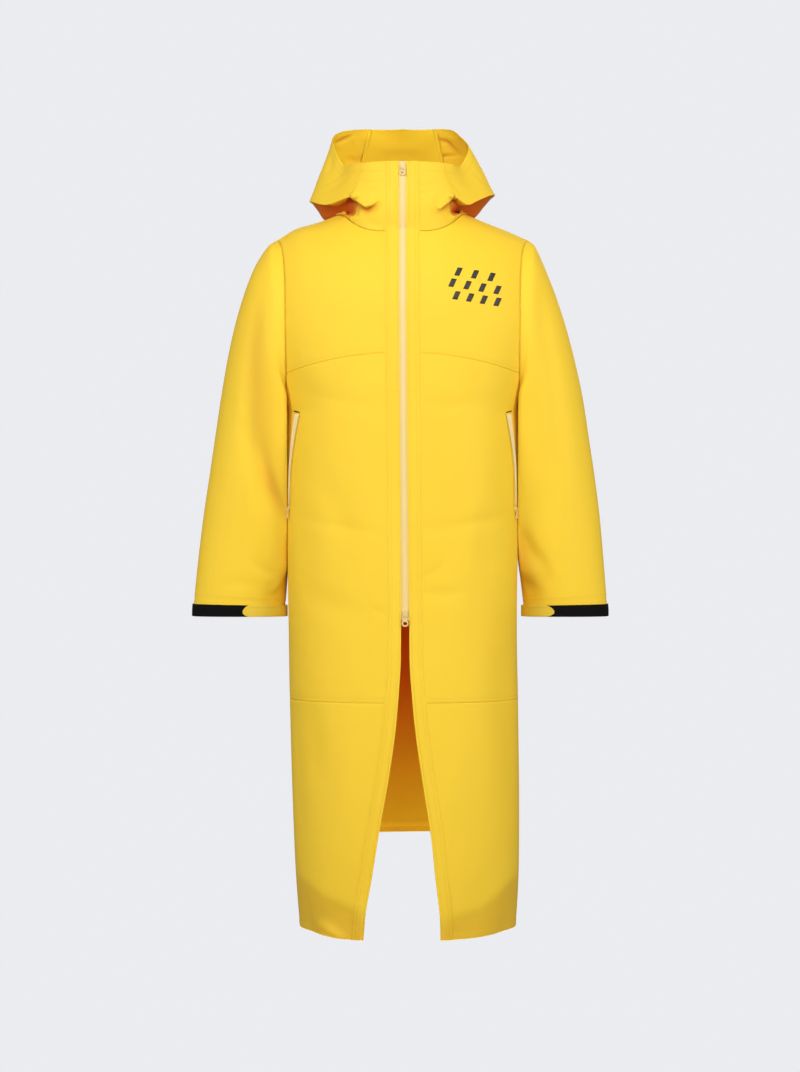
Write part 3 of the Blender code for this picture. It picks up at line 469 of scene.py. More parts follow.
# rows that carry an edge on under its neighbour: share of the reach, share of the depth
lapRows = ((0.06, 0.55), (0.16, 0.95), (0.5, 1.0), (1.0, 1.0))


def edgeAt(edge):
    # axis and end of a panel's edge
    return 0 if edge in ("top", "bottom") else 1, -1 if edge in ("top", "outer") else 0


def extended(values, extra, edge):
    axis, end = edgeAt(edge)
    return np.concatenate([values, extra] if end else [np.flip(extra, axis), values], axis)


def lapped(grid, normal, reach, sink, edge):
    axis, end = edgeAt(edge)
    last = np.take(grid, end, axis)
    tangent = last - np.take(grid, -2 if end else 1, axis)
    tangent /= np.maximum(np.linalg.norm(tangent, axis=-1), 1e-9)[..., None]
    way = np.take(normal, end, axis)
    extra = np.stack([last + tangent * reach * t - way * sink * s for t, s in lapRows], axis)
    return extended(grid, extra, edge)


def lapKept(values, edge):
    # normals or shades of the lapped rows, the same as at the edge
    axis, end = edgeAt(edge)
    return extended(values, np.repeat(np.take(values, [end], axis), len(lapRows), axis), edge)


def gridMesh(name, grid, flip=False, wrap=False):
    rows, count = grid.shape[:2]
    r, c = np.meshgrid(range(rows - 1), range(count if wrap else count - 1), indexing="ij")
    n, low, high = (c + 1) % count, r * count, (r + 1) * count
    faces = np.stack([low + c, low + n, high + n, high + c], -1).reshape(-1, 4)
    if flip:
        faces = faces[:, ::-1]
    mesh = bpy.data.meshes.new(name)
    mesh.from_pydata(grid.reshape(-1, 3).tolist(), [], faces.tolist())
    # the weave runs along the cloth's own length and width
    width, length = distances(grid, 1).ravel(), distances(grid, 0).ravel()
    layer = mesh.uv_layers.new(name="cloth")
    corners = np.zeros(len(mesh.loops), int)
    mesh.loops.foreach_get("vertex_index", corners)
    layer.data.foreach_set("uv", np.stack([width[corners], length[corners]], -1).ravel())
    mesh.shade_smooth()
    return mesh


def listMesh(name, vertices, faces):
    mesh = bpy.data.meshes.new(name)
    mesh.from_pydata([tuple(v) for v in vertices], [], faces)
    return mesh


def makeObject(name, mesh, material):
    made = bpy.data.objects.new(name, mesh)
    bpy.context.scene.collection.objects.link(made)
    mesh.materials.append(material)
    return made


def addWall(made, thick, offset=-1):
    # the cloth's thickness, inwards or outwards
    wall = made.modifiers.new("wall", "SOLIDIFY")
    wall.thickness, wall.offset = thick, offset
    return wall


def softEdge(made):
    # small rounding on the sharp edges only
    edge = made.modifiers.new("edge", "BEVEL")
    edge.width, edge.segments, edge.angle_limit = 0.0004, 1, math.radians(60)


# finishes

def node(tree, kind, **values):
    made = tree.nodes.new(kind)
    for key, value in values.items():
        if hasattr(made, key):
            setattr(made, key, value)
        else:
            made.inputs[key.replace("_", " ")].default_value = value
    return made


def wire(source, output, target, into):
    source.id_data.links.new(source.outputs[output], target.inputs[into])


def blankMaterial(name, roughness, sheen=0.0):
    made = bpy.data.materials.new(name)
    made.use_nodes = True
    shader = made.node_tree.nodes["Principled BSDF"]
    shader.inputs["Roughness"].default_value = roughness
    shader.inputs["Sheen Weight"].default_value = sheen
    return made, made.node_tree, shader


yellowCloth = {
    # fold is the darker red-orange of the painted shade in folds and recesses
    "light": (0.955, 0.640, 0.036), "deep": (0.940, 0.606, 0.029), "fold": (0.56, 0.100, 0.001),
    "patch": 4.2, "patchRange": (0.35, 0.75), "roughness": 0.66, "roughLess": 0.06, "roughMore": 0.08,
    "sheen": 0.03, "sheenRoughness": 0.45, "specular": 0.3,
    # scale of each, then strength and depth of its bump
    "weave": 65.0, "weaveBend": 0.3, "weaveBump": (0.06, 0.0002),
    "mottle": 95.0, "mottleBump": (0.10, 0.001), "crease": 21.0, "creaseBump": (0.34, 0.004),
}
# "depth" names the mark that says how far the cloth turns to its fold colour, a painted shade; the body's
# inside has a painted shade mark of its own
insides = {
    "bodyInside": {"depth": "paintedInsideShade", "light": (0.955, 0.660, 0.018), "deep": (0.945, 0.620, 0.014),
                   "fold": (0.88, 0.18, 0.001)},
    "hoodInside": {"light": (0.955, 0.680, 0.034), "deep": (0.945, 0.630, 0.028)},
}


def toneMix(tree, light, deep):
    tone = node(tree, "ShaderNodeMix", data_type="RGBA")
    tone.inputs["A"].default_value = (*light, 1)
    tone.inputs["B"].default_value = (*deep, 1)
    return tone


def noiseNode(tree, scale, seed, detail=2.0):
    return node(tree, "ShaderNodeTexNoise", Scale=scale, Detail=detail, noise_dimensions="4D", W=seed)


def clothMaterial(name, look, seed):
    made, tree, shader = blankMaterial(name, look["roughness"], look["sheen"])
    shader.inputs["Sheen Roughness"].default_value = look["sheenRoughness"]
    shader.inputs["Specular IOR Level"].default_value = look["specular"]
    place = node(tree, "ShaderNodeTexCoord")
    # soft change of shade over the cloth
    patch = noiseNode(tree, look["patch"], seed, 3.0)
    tone = toneMix(tree, look["light"], look["deep"])
    spread = node(tree, "ShaderNodeMapRange")
    spread.inputs["From Min"].default_value, spread.inputs["From Max"].default_value = look["patchRange"]
    wire(place, "Object", patch, "Vector")
    wire(patch, "Fac", spread, "Value")
    wire(spread, "Result", tone, "Factor")
    # painted shade: deep folds and recesses turn to a darker, redder yellow, as far as the mark says
    fold = node(tree, "ShaderNodeMix", data_type="RGBA")
    depth = node(tree, "ShaderNodeAttribute", attribute_name=look.get("depth", "shade"))
    fold.inputs["B"].default_value = (*look["fold"], 1)
    wire(depth, "Fac", fold, "Factor")
    wire(tone, "Result", fold, "A")
    wire(fold, "Result", shader, "Base Color")
    # weave, fine mottle and small soft creases, one bump after the other
    lines = []
    for direction in ("X", "Y"):
        wave = node(tree, "ShaderNodeTexWave", bands_direction=direction, Scale=look["weave"],
                    Distortion=look["weaveBend"])
        wire(place, "UV", wave, "Vector")
        lines.append(wave)
    both = node(tree, "ShaderNodeMath", operation="MAXIMUM")
    wire(lines[0], "Fac", both, 0)
    wire(lines[1], "Fac", both, 1)
    bumps = []
    mottle, crease = noiseNode(tree, look["mottle"], seed), noiseNode(tree, look["crease"], seed + 3)
    for noise in (mottle, crease):
        wire(place, "Object", noise, "Vector")
    heights = (crease.outputs["Fac"], mottle.outputs["Fac"], both.outputs["Value"])
    for height, key in zip(heights, ("creaseBump", "mottleBump", "weaveBump")):
        strength, distance = look[key]
        bump = node(tree, "ShaderNodeBump", Strength=strength, Distance=distance)
        tree.links.new(height, bump.inputs["Height"])
        if bumps:
            wire(bumps[-1], "Normal", bump, "Normal")
        bumps.append(bump)
    wire(bumps[-1], "Normal", shader, "Normal")
    rough = node(tree, "ShaderNodeMapRange")
    rough.inputs["To Min"].default_value = look["roughness"] - look["roughLess"]
    rough.inputs["To Max"].default_value = look["roughness"] + look["roughMore"]
    wire(mottle, "Fac", rough, "Value")
    wire(rough, "Result", shader, "Roughness")
    return made


# light and deep shade, roughness, scale of the grain, its bump, specular level
plainFinishes = {
    # thread is painted darker than the yellow cloth, so the stitched seams carry a painted shade line
    "thread": ((0.64, 0.34, 0.02), (0.52, 0.26, 0.015), 0.55, 900, 0.10, 0.5),
    "zipTape": ((0.86, 0.65, 0.26), (0.82, 0.59, 0.20), 0.70, 1500, 0.15, 0.5),
    "zipTeeth": ((0.94, 0.80, 0.44), (0.89, 0.72, 0.36), 0.38, 300, 0.03, 0.5),
    # zip pulls and sliders: cream, painted darker than the teeth to stand in for the shade on them
    "zipPull": ((0.86, 0.68, 0.30), (0.74, 0.53, 0.20), 0.36, 260, 0.03, 0.5),
    # near-black finish of the pocket bar, a painted shade at the top of each pocket zip
    "paintedPocketShade": ((0.055, 0.022, 0.004), (0.022, 0.010, 0.003), 0.75, 900, 0.3, 0.15),
    "cuffStrip": ((0.005, 0.005, 0.005), (0.002, 0.002, 0.002), 0.95, 1100, 0.9, 0.15),
    "printInk": ((0.030, 0.026, 0.020), (0.014, 0.012, 0.010), 0.55, 500, 0.05, 0.5),
}
grainDeep = 0.0004


def plainMaterial(name, finish, seed=0.0):
    light, deep, roughness, scale, strength, specular = plainFinishes[finish]
    made, tree, shader = blankMaterial(name, roughness)
    shader.inputs["Specular IOR Level"].default_value = specular
    place = node(tree, "ShaderNodeTexCoord")
    grain, tone = noiseNode(tree, scale, seed), toneMix(tree, light, deep)
    bump = node(tree, "ShaderNodeBump", Strength=strength, Distance=grainDeep)
    wire(place, "Object", grain, "Vector")
    wire(grain, "Fac", tone, "Factor")
    wire(grain, "Fac", bump, "Height")
    wire(tone, "Result", shader, "Base Color")
    wire(bump, "Normal", shader, "Normal")
    return made


def markPoints(mesh, attribute, values):
    mesh.attributes.new(attribute, "FLOAT", "POINT").data.foreach_set("value", values.ravel().astype(float))


def clothPiece(name, nodeName, grid, flip, wrap=False, shade=None,
               inside="bodyInside"):
    mesh = gridMesh(name, grid, flip, wrap)
    # painted shade: the given shade mark, and on the inside a shade that is strongest near the top of the
    # slit and fades towards the hem and the chest
    markPoints(mesh, "shade", np.broadcast_to(0.0 if shade is None else shade, grid.shape[:2]))
    z = grid[..., 2]
    markPoints(mesh, "paintedInsideShade", after(z, *coat["insideShadeFrom"]) * until(z, *coat["insideShadeTo"]))
    made = makeObject(name, mesh, clothMaterial(name + "_cloth", yellowCloth, len(name) * 1.7))
    innerLook = {**yellowCloth, **insides[inside]}
    mesh.materials.append(clothMaterial(name + "_inside", innerLook, len(name) * 1.1))
    addWall(made, coat["wall"]).material_offset = 1
    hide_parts(nodeName)
    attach(made, "coat")
    return made


# stitches: short raised dashes along a line on the cloth

stitch = {
    "pitch": 0.0034, "length": 0.0025, "width": 0.00075, "rise": 0.00045, "sink": 0.0003, "inset": 0.0004,
    "topInset": 1.5, "topRise": 0.7,      # shares of the inset and the rise at a stitch's top
}
stitchLines = []


def addStitches(line, normal):
    # line and its outward normals, point by point
    stitchLines.append((np.array(line), np.array(normal)))


def lengthAlong(line):
    return np.concatenate([[0], np.cumsum(np.linalg.norm(np.diff(line, axis=0), axis=-1))])


def pointsAt(places, total, line):
    # points of a line, or its normals, at distances along it
    return np.stack([np.interp(places, total, line[:, i]) for i in range(3)], -1)


def makeStitches(name, bodyName):
    vertices, faces = [], []
    for line, normal in stitchLines:
        total = lengthAlong(line)
        if total[-1] < stitch["pitch"]:
            continue
        starts = np.arange(0, total[-1] - stitch["length"], stitch["pitch"])
        first = pointsAt(starts, total, line)
        last = pointsAt(starts + stitch["length"], total, line)
        up = pointsAt(starts + stitch["length"] / 2, total, normal)
        up /= np.linalg.norm(up, axis=-1)[:, None]
        way = last - first
        way /= np.maximum(np.linalg.norm(way, axis=-1), 1e-9)[:, None]
        across = np.cross(up, way) * stitch["width"] / 2
        for a, b, u, s, w in zip(first, last, up, across, way):
            base = len(vertices)
            sink, lift, inset = u * stitch["sink"], u * stitch["rise"], w * stitch["inset"]
            vertices += [a - sink, a + s - sink + inset, b + s - sink - inset, b - sink,
                         b - s - sink - inset, a - s - sink + inset,
                         a + inset * stitch["topInset"] + lift * stitch["topRise"],
                         b - inset * stitch["topInset"] + lift * stitch["topRise"]]
            for face in ((0, 1, 6), (1, 2, 7, 6), (2, 3, 7), (3, 4, 7), (4, 5, 6, 7), (5, 0, 6),
                         (5, 4, 3, 2, 1, 0)):
                faces.append([base + i for i in face])
    mesh = listMesh(name, vertices, faces)
    mesh.shade_smooth()
    made = makeObject(name, mesh, plainMaterial(name + "_thread", "thread"))
    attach(made, bodyName)
    stitchLines.clear()
    return made


def edgeLine(axis, grid, normal, offset, fromEnd=False):
    # points and normals at a distance from an edge: axis 0 bottom or top, axis 1 inner or outer
    order = slice(None, None, -1) if fromEnd else slice(None)
    far = np.moveaxis(distances(grid, axis, fromEnd), axis, 1)[:, order]
    lines = []
    for data in (grid, normal):
        rows = np.moveaxis(data, axis, 1)[:, order]
        lines.append(np.array([pointsAt(offset, f, row) for f, row in zip(far, rows)]))
    return lines


def groovesAt(distance, places):
    return sum(-front["groove"] * bell(distance - place, front["grooveWide"]) for place in places)


# front panels

front = {
    "closeColumns": 3.4, "closeStep": 0.085, "wideStep": 0.24, "rowStep": 0.005,
    "tall": {"skirt": 0.40, "middle": 0.58}, "yokeHalf": 0.2005, "yokeRise": 0.0045,
    "placket": 0.0243,        # width of the strip along each front edge
    "placketRows": (0.0030, 0.0160, 0.0222), "placketThick": 0.0007, "placketFlat": (1.34, 0.0243),
    "jogZ": -0.300,
    "hem": 0.0145, "hemThick": 0.0004, "seamRows": (0.0022, 0.0075), "shoulderRow": 0.004, "soft": 0.002,
    "groove": 0.0010, "grooveWide": 0.0018, "seamGroove": 0.35, "creaseShare": 1.5,
    # depth and width of each turned edge
    "innerTurn": (0.0011, 0.0011), "hemTurn": (0.0007, 0.0012), "seamTurn": (0.0010, 0.0011),
    "topSink": 0.0002, "topOver": 0.003, "lap": (0.008, 0.0016),
    # the skirts' lean inwards: depth, its reach and soft start in pixels, and where it ends at the side
    "tuck": 0.0105, "tuckReach": 50, "tuckMost": 1.4, "tuckSoft": 16, "tuckSide": 0.075,
    # painted shade below the tuck line: its strength, and over how many pixels it sets in
    "tuckShade": 0.17, "tuckShadeOver": 22,
    "flat": {"yoke": (0.25, 0.34), "middle": (0.27, 0.61), "skirt": (0.26, 0.41)},
    "area": {"yoke": 0.0562, "middle": 0.1520, "skirt": 0.0910},
}
# soft creases of the front, as lines in the photo
frontCreases = {
    -1: [
        ([(296, 388), (330, 399), (362, 405), (386, 404)], 7, -0.0009),
        ([(296, 516), (335, 526), (386, 535)], 6, -0.0008),
        ([(318, 470), (338, 512), (352, 548)], 12, -0.0014),
        ([(300, 585), (330, 606), (372, 622)], 11, -0.0010),
        ([(306, 700), (312, 740), (318, 790)], 12, -0.0022),
        ([(352, 730), (346, 780), (340, 830)], 12, 0.0012),
        ([(312, 924), (330, 934), (342, 944)], 6, 0.0030),
        ([(310, 300), (330, 318), (352, 326)], 10, -0.0007),
        ([(370, 605), (378, 612), (386, 615)], 3, -0.0008),
    ],
    1: [
        ([(423, 531), (450, 528), (480, 522), (512, 516)], 6, -0.0008),
        ([(423, 404), (455, 405), (500, 398)], 7, -0.0008),
        ([(478, 510), (486, 545), (496, 575)], 12, -0.0014),
        ([(424, 592), (444, 596), (466, 590)], 6, -0.0010),
        ([(423, 578), (434, 572), (446, 562)], 3.5, -0.0008),
        ([(505, 640), (500, 700), (506, 760)], 12, -0.0016),
        ([(452, 735), (456, 780), (460, 830)], 12, 0.0012),
        ([(500, 300), (476, 322), (450, 330)], 10, -0.0007),
    ],
}


# where the skirts lean inwards above the hem, as lines in the photo
hemTucks = {
    -1: [(284, 860), (300, 869), (322, 887), (347, 898), (368, 911)],
    1: [(434, 917), (456, 909), (481, 901), (498, 888), (522, 862)],
}


def tuckBelow(side, px, py):
    line = np.array(hemTucks[side], float)
    return py - np.interp(px, line[:, 0], line[:, 1])


# painted shade on the skirts and the placket below the tuck line
def tuckPaintedShade(below):
    return front["tuckShade"] * ease(below / front["tuckShadeOver"])


def frontColumns():
    start = front["closeColumns"]
    wide = np.linspace(start, columnsAll, int((columnsAll - start) / front["wideStep"]))
    return np.concatenate([np.arange(0, start, front["closeStep"]), wide])


# rows close together at a turned edge, and where the even rows start after them
turnSteps, turnEnd = np.array([0, 0.0008, 0.0016, 0.0024, 0.0034, 0.0046, 0.006, 0.0075, 0.0092]), 0.0125
# the yoke's rows up to the armhole's middle, and a panel's rows from there to its top seam
yokeTall = 0.054
yokeRows = np.concatenate([turnSteps / yokeTall, np.linspace(0.23, 1, 10)])[:, None]
shoulderRows = np.concatenate([np.linspace(0, 0.93, 46)[1:], np.linspace(0.93, 1, 9)[1:]])[:, None]


def seamSteps(length, step):
    # even steps, with close ones at both ends for the turned edges
    near, start = turnSteps / length, turnEnd / length
    return np.concatenate([near, np.linspace(start, 1 - start, int(length / step)), 1 - near[::-1]])


def yokeSeam(side, k):
    # a smooth arc over the chest
    z = coat["yokeCentreZ"] + 0 * k
    for _ in range(4):
        share = np.minimum(np.abs(panelPoint(side, -1, k, z)[..., 0]) / front["yokeHalf"], 1)
        z = mix(coat["yokeCentreZ"], coat["yokeSideZ"] + front["yokeRise"], share**2)
    return z


def frontHem(k):
    return mix(coat["hemFrontZ"], coat["hemSideZ"], ease(k / columnsAll))


def backHem(side, k):
    share = k / columnsAll
    middle = coat["hemBackZ"] + side * coat["hemTilt"] / 2 * share
    return mix(coat["hemSideZ"], middle, ease((1 - share) * coat["hemReach"]))


def panelRows(side, face, k, low, high, length):
    t = seamSteps(length, front["rowStep"])[:, None]
    return panelPoint(side, face, k[None, :], mix(low, high, t))


frontGrids = {}


def frontPanels(side, word):
    k = frontColumns()
    seam = coat["seam"] / 2
    knee, yokeLine = coat["kneeZ"] + 0 * k, yokeSeam(side, k)
    skirt = panelRows(side, -1, k, frontHem(k), knee - seam, front["tall"]["skirt"])
    middle = panelRows(side, -1, k, knee + seam, yokeLine - seam, front["tall"]["middle"])
    lowYoke = panelPoint(side, -1, k[None, :], mix(yokeLine + seam, coat["armZ"], yokeRows))
    yoke = np.concatenate([lowYoke, panelOver(side, -1, k[None, :], shoulderRows)], 0)
    for name, grid in (("skirt", skirt), ("middle", middle), ("yoke", yoke)):
        grid[..., 1] = np.minimum(grid[..., 1], -seam)
        normal = normalsOf(grid, side < 0)
        px, py = toPhoto(grid)
        inner = distances(grid, 1)
        top, bottom = distances(grid, 0, True), distances(grid, 0)
        creases = strokeDepth(px, py, frontCreases[side]) * front["creaseShare"]
        shade = 0 * px
        if name == "skirt":
            below = tuckBelow(side, px, py)
            lean = front["tuck"] * np.clip(below / front["tuckReach"], 0, front["tuckMost"])
            quiet = ease(distances(grid, 1, True) / front["tuckSide"])
            creases -= lean * ease(below / front["tuckSoft"]) * quiet
            shade = tuckPaintedShade(below)
        soft = pushed(grid, normal, creases)
        frontGrids[name, side] = soft
        clear = after(inner, front["placket"], front["soft"])
        amount = turnedIn(inner, *front["innerTurn"])
        if name == "skirt":
            hem = front["hemThick"] * until(bottom, front["hem"], front["soft"])
            amount += hem + groovesAt(bottom, (front["hem"],)) * clear
            amount += turnedIn(bottom, *front["hemTurn"])
        else:
            amount += groovesAt(bottom, front["seamRows"]) * front["seamGroove"] * clear
            amount += turnedIn(bottom, *front["seamTurn"]) * clear
        if name != "yoke":
            amount -= front["topSink"] * until(top, front["topOver"], front["topOver"])
        grid = pushed(soft, normal, amount)
        full = grid
        if name != "yoke":
            full, shade = lapped(full, normal, *front["lap"], "top"), lapKept(shade, "top")
        clothPiece(f"front_{name}_cloth_{word}", f"front_{name}_{word}", full, side < 0,
                   shade=shade)
        for offset in ((front["hem"],) if name == "skirt" else front["seamRows"]):
            line, up = edgeLine(0, grid, normal, offset)
            beyond = inner[0] > front["placket"]
            addStitches(line[beyond], up[beyond])
        if name == "yoke":
            shoulder = [c for c in range(len(k)) if k[c] >= coat["neckSteps"]]
            line, up = edgeLine(0, grid, normal, front["shoulderRow"], True)
            addStitches(line[shoulder], up[shoulder])


# columns from the inner edge to the outer one, close rows at both ends with those that stay as they are
# when the rest is smoothed, and the strip's small forms
placket = {
    "nearColumns": (0.0001, 0.0006, 0.0012, 0.0020), "columns": (0.0030, 0.0222, 17),
    "farColumns": (0.0229, 0.0236, 0.0241, 0.0243),
    "endRows": np.array([0, 0.0007, 0.0015, 0.0025]), "rowsFrom": 0.004, "rows": 420, "kept": 6,
    "lift": 0.0001, "grooves": 1.1, "middleGroove": 0.35, "crown": (0.0005, 0.006),
    "outerTurn": (0.0004, 0.0008), "innerTurn": (0.0005, 0.0009), "endTurn": (0.0004, 0.0009),
    "puckerStep": 0.009, "puckerTall": 0.00016, "puckerPlace": (0.019, 0.006),
    "tackUnder": 0.002, "tack": 0.006,
}


def placketStrip(side, word):
    # one strip lies over the panels' seams from hem to collar, along the zip and the slit
    columns = np.linspace(*placket["columns"])
    offsets = np.concatenate([placket["nearColumns"], columns, placket["farColumns"]])
    parts = []
    for name in ("skirt", "middle", "yoke", "collar"):
        grid = frontGrids[name, side]
        normal = normalsOf(grid, side < 0)
        part = np.stack([edgeLine(1, grid, normal, offset)[0] for offset in offsets], 1)
        part = part[2:] if name != "skirt" else part
        parts.append(part[:-2] if name != "collar" else part)
    grid = np.concatenate(parts, 0)
    # even rows, so that the strip runs smoothly over each seam
    total = lengthAlong(grid[:, 8])
    ends, long = placket["endRows"], total[-1]
    rows = np.linspace(placket["rowsFrom"], long - placket["rowsFrom"], placket["rows"])
    places = np.concatenate([ends, rows, long - ends[::-1]])
    even = np.stack([pointsAt(places, total, grid[:, c]) for c in range(grid.shape[1])], 1)
    blurred = even.copy()
    for _ in range(3):
        blurred[1:-1] = blurred[:-2] * 0.25 + blurred[1:-1] * 0.5 + blurred[2:] * 0.25
    kept = placket["kept"]
    even[kept:-kept] = blurred[kept:-kept]
    normal = normalsOf(even, side < 0)
    across, outer = distances(even, 1), distances(even, 1, True)
    ends = np.minimum(distances(even, 0), distances(even, 0, True))
    first, second, third = front["placketRows"]
    grooves = groovesAt(across, (first, third)) * placket["grooves"]
    amount = front["placketThick"] + placket["lift"] + grooves
    amount += groovesAt(across, (second,)) * placket["middleGroove"]
    crown, over = placket["crown"]
    amount = amount + crown * ease(across / over) + turnedIn(outer, *placket["outerTurn"])
    amount = amount + turnedIn(across, *placket["innerTurn"]) + turnedIn(ends, *placket["endTurn"])
    # small puckers between the rows of stitches
    rng = np.random.default_rng(3 + side)
    knots = np.arange(0, long + placket["puckerStep"], placket["puckerStep"])
    pucker = np.interp(places, knots, rng.normal(0, placket["puckerTall"], len(knots)))
    middle, wide = placket["puckerPlace"]
    lifted = pushed(even, normal, amount + pucker[:, None] * bell(across - middle, wide))
    name = "placket_cloth_" + word
    mesh = gridMesh(name, lifted, side < 0)
    markPoints(mesh, "shade", tuckPaintedShade(tuckBelow(side, *toPhoto(even))))
    made = makeObject(name, mesh, clothMaterial(name, yellowCloth, 21.0 + side))
    addWall(made, front["placketThick"])
    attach(made, "coat")
    for offset in front["placketRows"]:
        addStitches(*edgeLine(1, lifted, normal, offset))
    # short row from the zip to the outer row, and a bar tack above the slit
    for height, length in ((front["jogZ"], third), (coat["slitZ"] - placket["tackUnder"], placket["tack"])):
        row = min(range(len(places)), key=lambda r: abs(lifted[r, 4, 2] - height))
        count = np.argmin(np.abs(across[row] - length)) + 1
        addStitches(lifted[row, 3:count], normal[row, 3:count])


# back panel

back = {
    "columns": 44, "closeFrom": 0.35, "closeColumns": 5, "rowStep": 0.0055, "flat": (0.58, 1.28),
    "area": 0.574,
    "quiet": 0.012, "turn": (0.0006, 0.0012), "lap": (0.006, 0.0014), "sideRow": 0.004,
    "creases": [
        ([(300, 330), (330, 400), (352, 470)], 12, -0.0030),
        ([(500, 320), (470, 380), (455, 450)], 12, -0.0030),
        ([(330, 560), (350, 640), (352, 740)], 13, -0.0035),
        ([(470, 600), (455, 690), (458, 800)], 13, -0.0035),
        ([(395, 640), (402, 720), (398, 820)], 14, 0.0030),
        ([(300, 480), (360, 500), (420, 492)], 10, -0.0020),
        ([(420, 520), (470, 505), (510, 480)], 10, -0.0020),
        ([(340, 262), (400, 272), (460, 260)], 12, -0.0022),
    ],
}


def backPanel():
    close = columnsAll - back["closeFrom"]
    half = np.concatenate([np.linspace(0, close, back["columns"]),
                           np.linspace(close, columnsAll, back["closeColumns"])[1:]])
    t = seamSteps(1.0, back["rowStep"])[:, None]
    halves = []
    for side in (-1, 1):
        low = panelPoint(side, 1, half[None, :], mix(backHem(side, half), coat["armZ"], t))
        halves.append(np.concatenate([low, panelOver(side, 1, half[None, :], shoulderRows)], 0))
    grid = np.concatenate([halves[0][:, ::-1], halves[1][:, 1:]], 1)
    grid[..., 1] = np.maximum(grid[..., 1], coat["seam"] / 2)
    normal = normalsOf(grid, True)
    bottom = distances(grid, 0)
    amount = strokeDepth(*toPhoto(grid), back["creases"])
    hem = front["hemThick"] * until(bottom, front["hem"], front["soft"])
    amount += groovesAt(bottom, (front["hem"],)) + hem
    edge = np.minimum(distances(grid, 1), distances(grid, 1, True))
    amount *= ease(edge / back["quiet"])
    amount += turnedIn(edge, *back["turn"])
    grid = pushed(grid, normal, amount)
    full = lapped(grid, normal, *back["lap"], "top")
    clothPiece("back_panel_cloth", "back_panel", full, True)
    addStitches(*edgeLine(0, grid, normal, front["hem"]))
    for fromOuter in (False, True):
        addStitches(*edgeLine(1, grid, normal, back["sideRow"], fromOuter))


for sideNow, wordNow in sides:
    frontPanels(sideNow, wordNow)
backPanel()
print("body panels made")


# sleeves and cuffs

sleeveLook = {
    "around": 150, "flat": (0.46, 0.67), "area": {-1: 0.239, 1: 0.232}, "lap": (0.006, 0.0015),
    # rings at the armhole, even ones to a little before the cuff, and close ones from there to past it
    "armRings": 7, "evenRings": 130, "evenEnd": 0.45, "closeRings": 22, "closeStart": 0.4, "closePast": 1,
    # how creases fade away from the front, and how the painted shade fades and how strong it gets at most
    "frontOver": 0.5, "paintedShadeOver": 0.3, "paintedShadeMost": 0.6,
    "quietStart": 1.2, "quietEnd": (0.35, 0.5), "quietBeside": (0.985, 0.2),
    "armTurn": (0.0003, 0.12), "armRow": 0.006, "armGroove": 0.5, "cuffTurn": (0.16, 0.0007, 0.0022),
    "cuffRows": (0.05, 0.24),
    "creases": {
        -1: [
            ([(266, 256), (258, 300), (253, 350), (255, 400), (260, 440)], 11, -0.0012),
            ([(258, 440), (264, 466), (272, 490), (285, 516)], 7, -0.0050, 1),
            ([(277, 470), (282, 492), (285, 510)], 4, 0.0016),
            ([(214, 590), (236, 584), (262, 588)], 5, -0.0014),
            ([(250, 560), (266, 572), (280, 575)], 5, -0.0016),
            ([(262, 597), (274, 590), (283, 579)], 2.5, 0.0020),
            ([(226, 330), (222, 400), (214, 470)], 12, -0.0010),
        ],
        1: [
            ([(541, 280), (541, 315), (536, 350)], 9, -0.0010),
            ([(516, 524), (530, 548), (543, 566), (551, 588)], 11, -0.0058, -1),
            ([(522, 575), (534, 590), (548, 596)], 6, -0.0022),
            ([(524, 600), (532, 596), (540, 601)], 2.5, 0.0014),
            ([(575, 330), (584, 400), (590, 470)], 12, -0.0008),
        ],
    },
    # painted shade: a redder tone along the sleeves' troughs, as lines: points, width, strength
    "warmLampAndPaintedShade": {
        -1: [([(256, 300), (256, 360), (261, 420), (268, 470), (280, 505)], 13, 0.24),
             ([(266, 466), (273, 490), (287, 518)], 6, 0.30),
             ([(281, 530), (284, 570), (284, 600)], 5, 0.10)],
        1: [([(518, 528), (524, 560), (530, 592)], 8, 0.30),
            ([(535, 570), (542, 585), (536, 597)], 8, 0.12)],
    },
    "backCreases": {
        -1: [([(262, 300), (258, 370), (250, 440)], 9, -0.0030),
             ([(280, 470), (250, 500), (222, 515)], 8, -0.0028),
             ([(276, 560), (250, 566), (222, 556)], 7, -0.0022)],
        1: [([(538, 300), (545, 370), (552, 440)], 9, -0.0030),
            ([(520, 470), (552, 500), (580, 515)], 8, -0.0028),
            ([(526, 560), (552, 566), (580, 556)], 7, -0.0022)],
    },
}
cuff = {
    "bandLift": 0.0006, "bandThick": 0.0018, "bandRings": (0.02, 0.98, 13), "around": 144, "pile": 0.00008,
    "tabLift": 0.0027, "tabThick": 0.0012, "tabStart": -60, "tabEnd": {-1: 75, 1: 60},
    "tabRound": {-1: 9, 1: 13},
    "tabSteps": 60, "roundSteps": np.array([0.25, 0.45, 0.62, 0.76, 0.88, 0.95, 1.0]), "roundMost": 0.97,
    "tabMiddle": 0.5, "tabHalf": 0.49, "crown": (0.0003, 0.7), "wave": (0.0002, 9),
    "tabAcross": 17, "tabRows": (2, 14),
    "tabTone": {"light": (0.82, 0.57, 0.045), "deep": (0.78, 0.53, 0.038)},
}


# where the sleeve is drawn onto the body: start or end and over what length, in degrees, rings and height
against = {
    "nearest": 0.1993, "gap": 0.0010, "ownFrom": (8, 2), "turnFrom": (0, 14), "turnTo": (86, 40),
    "ringFrom": (0.4, 1.0), "ringTo": (10.7, 1.2), "top": (-0.255, 0.05),
}


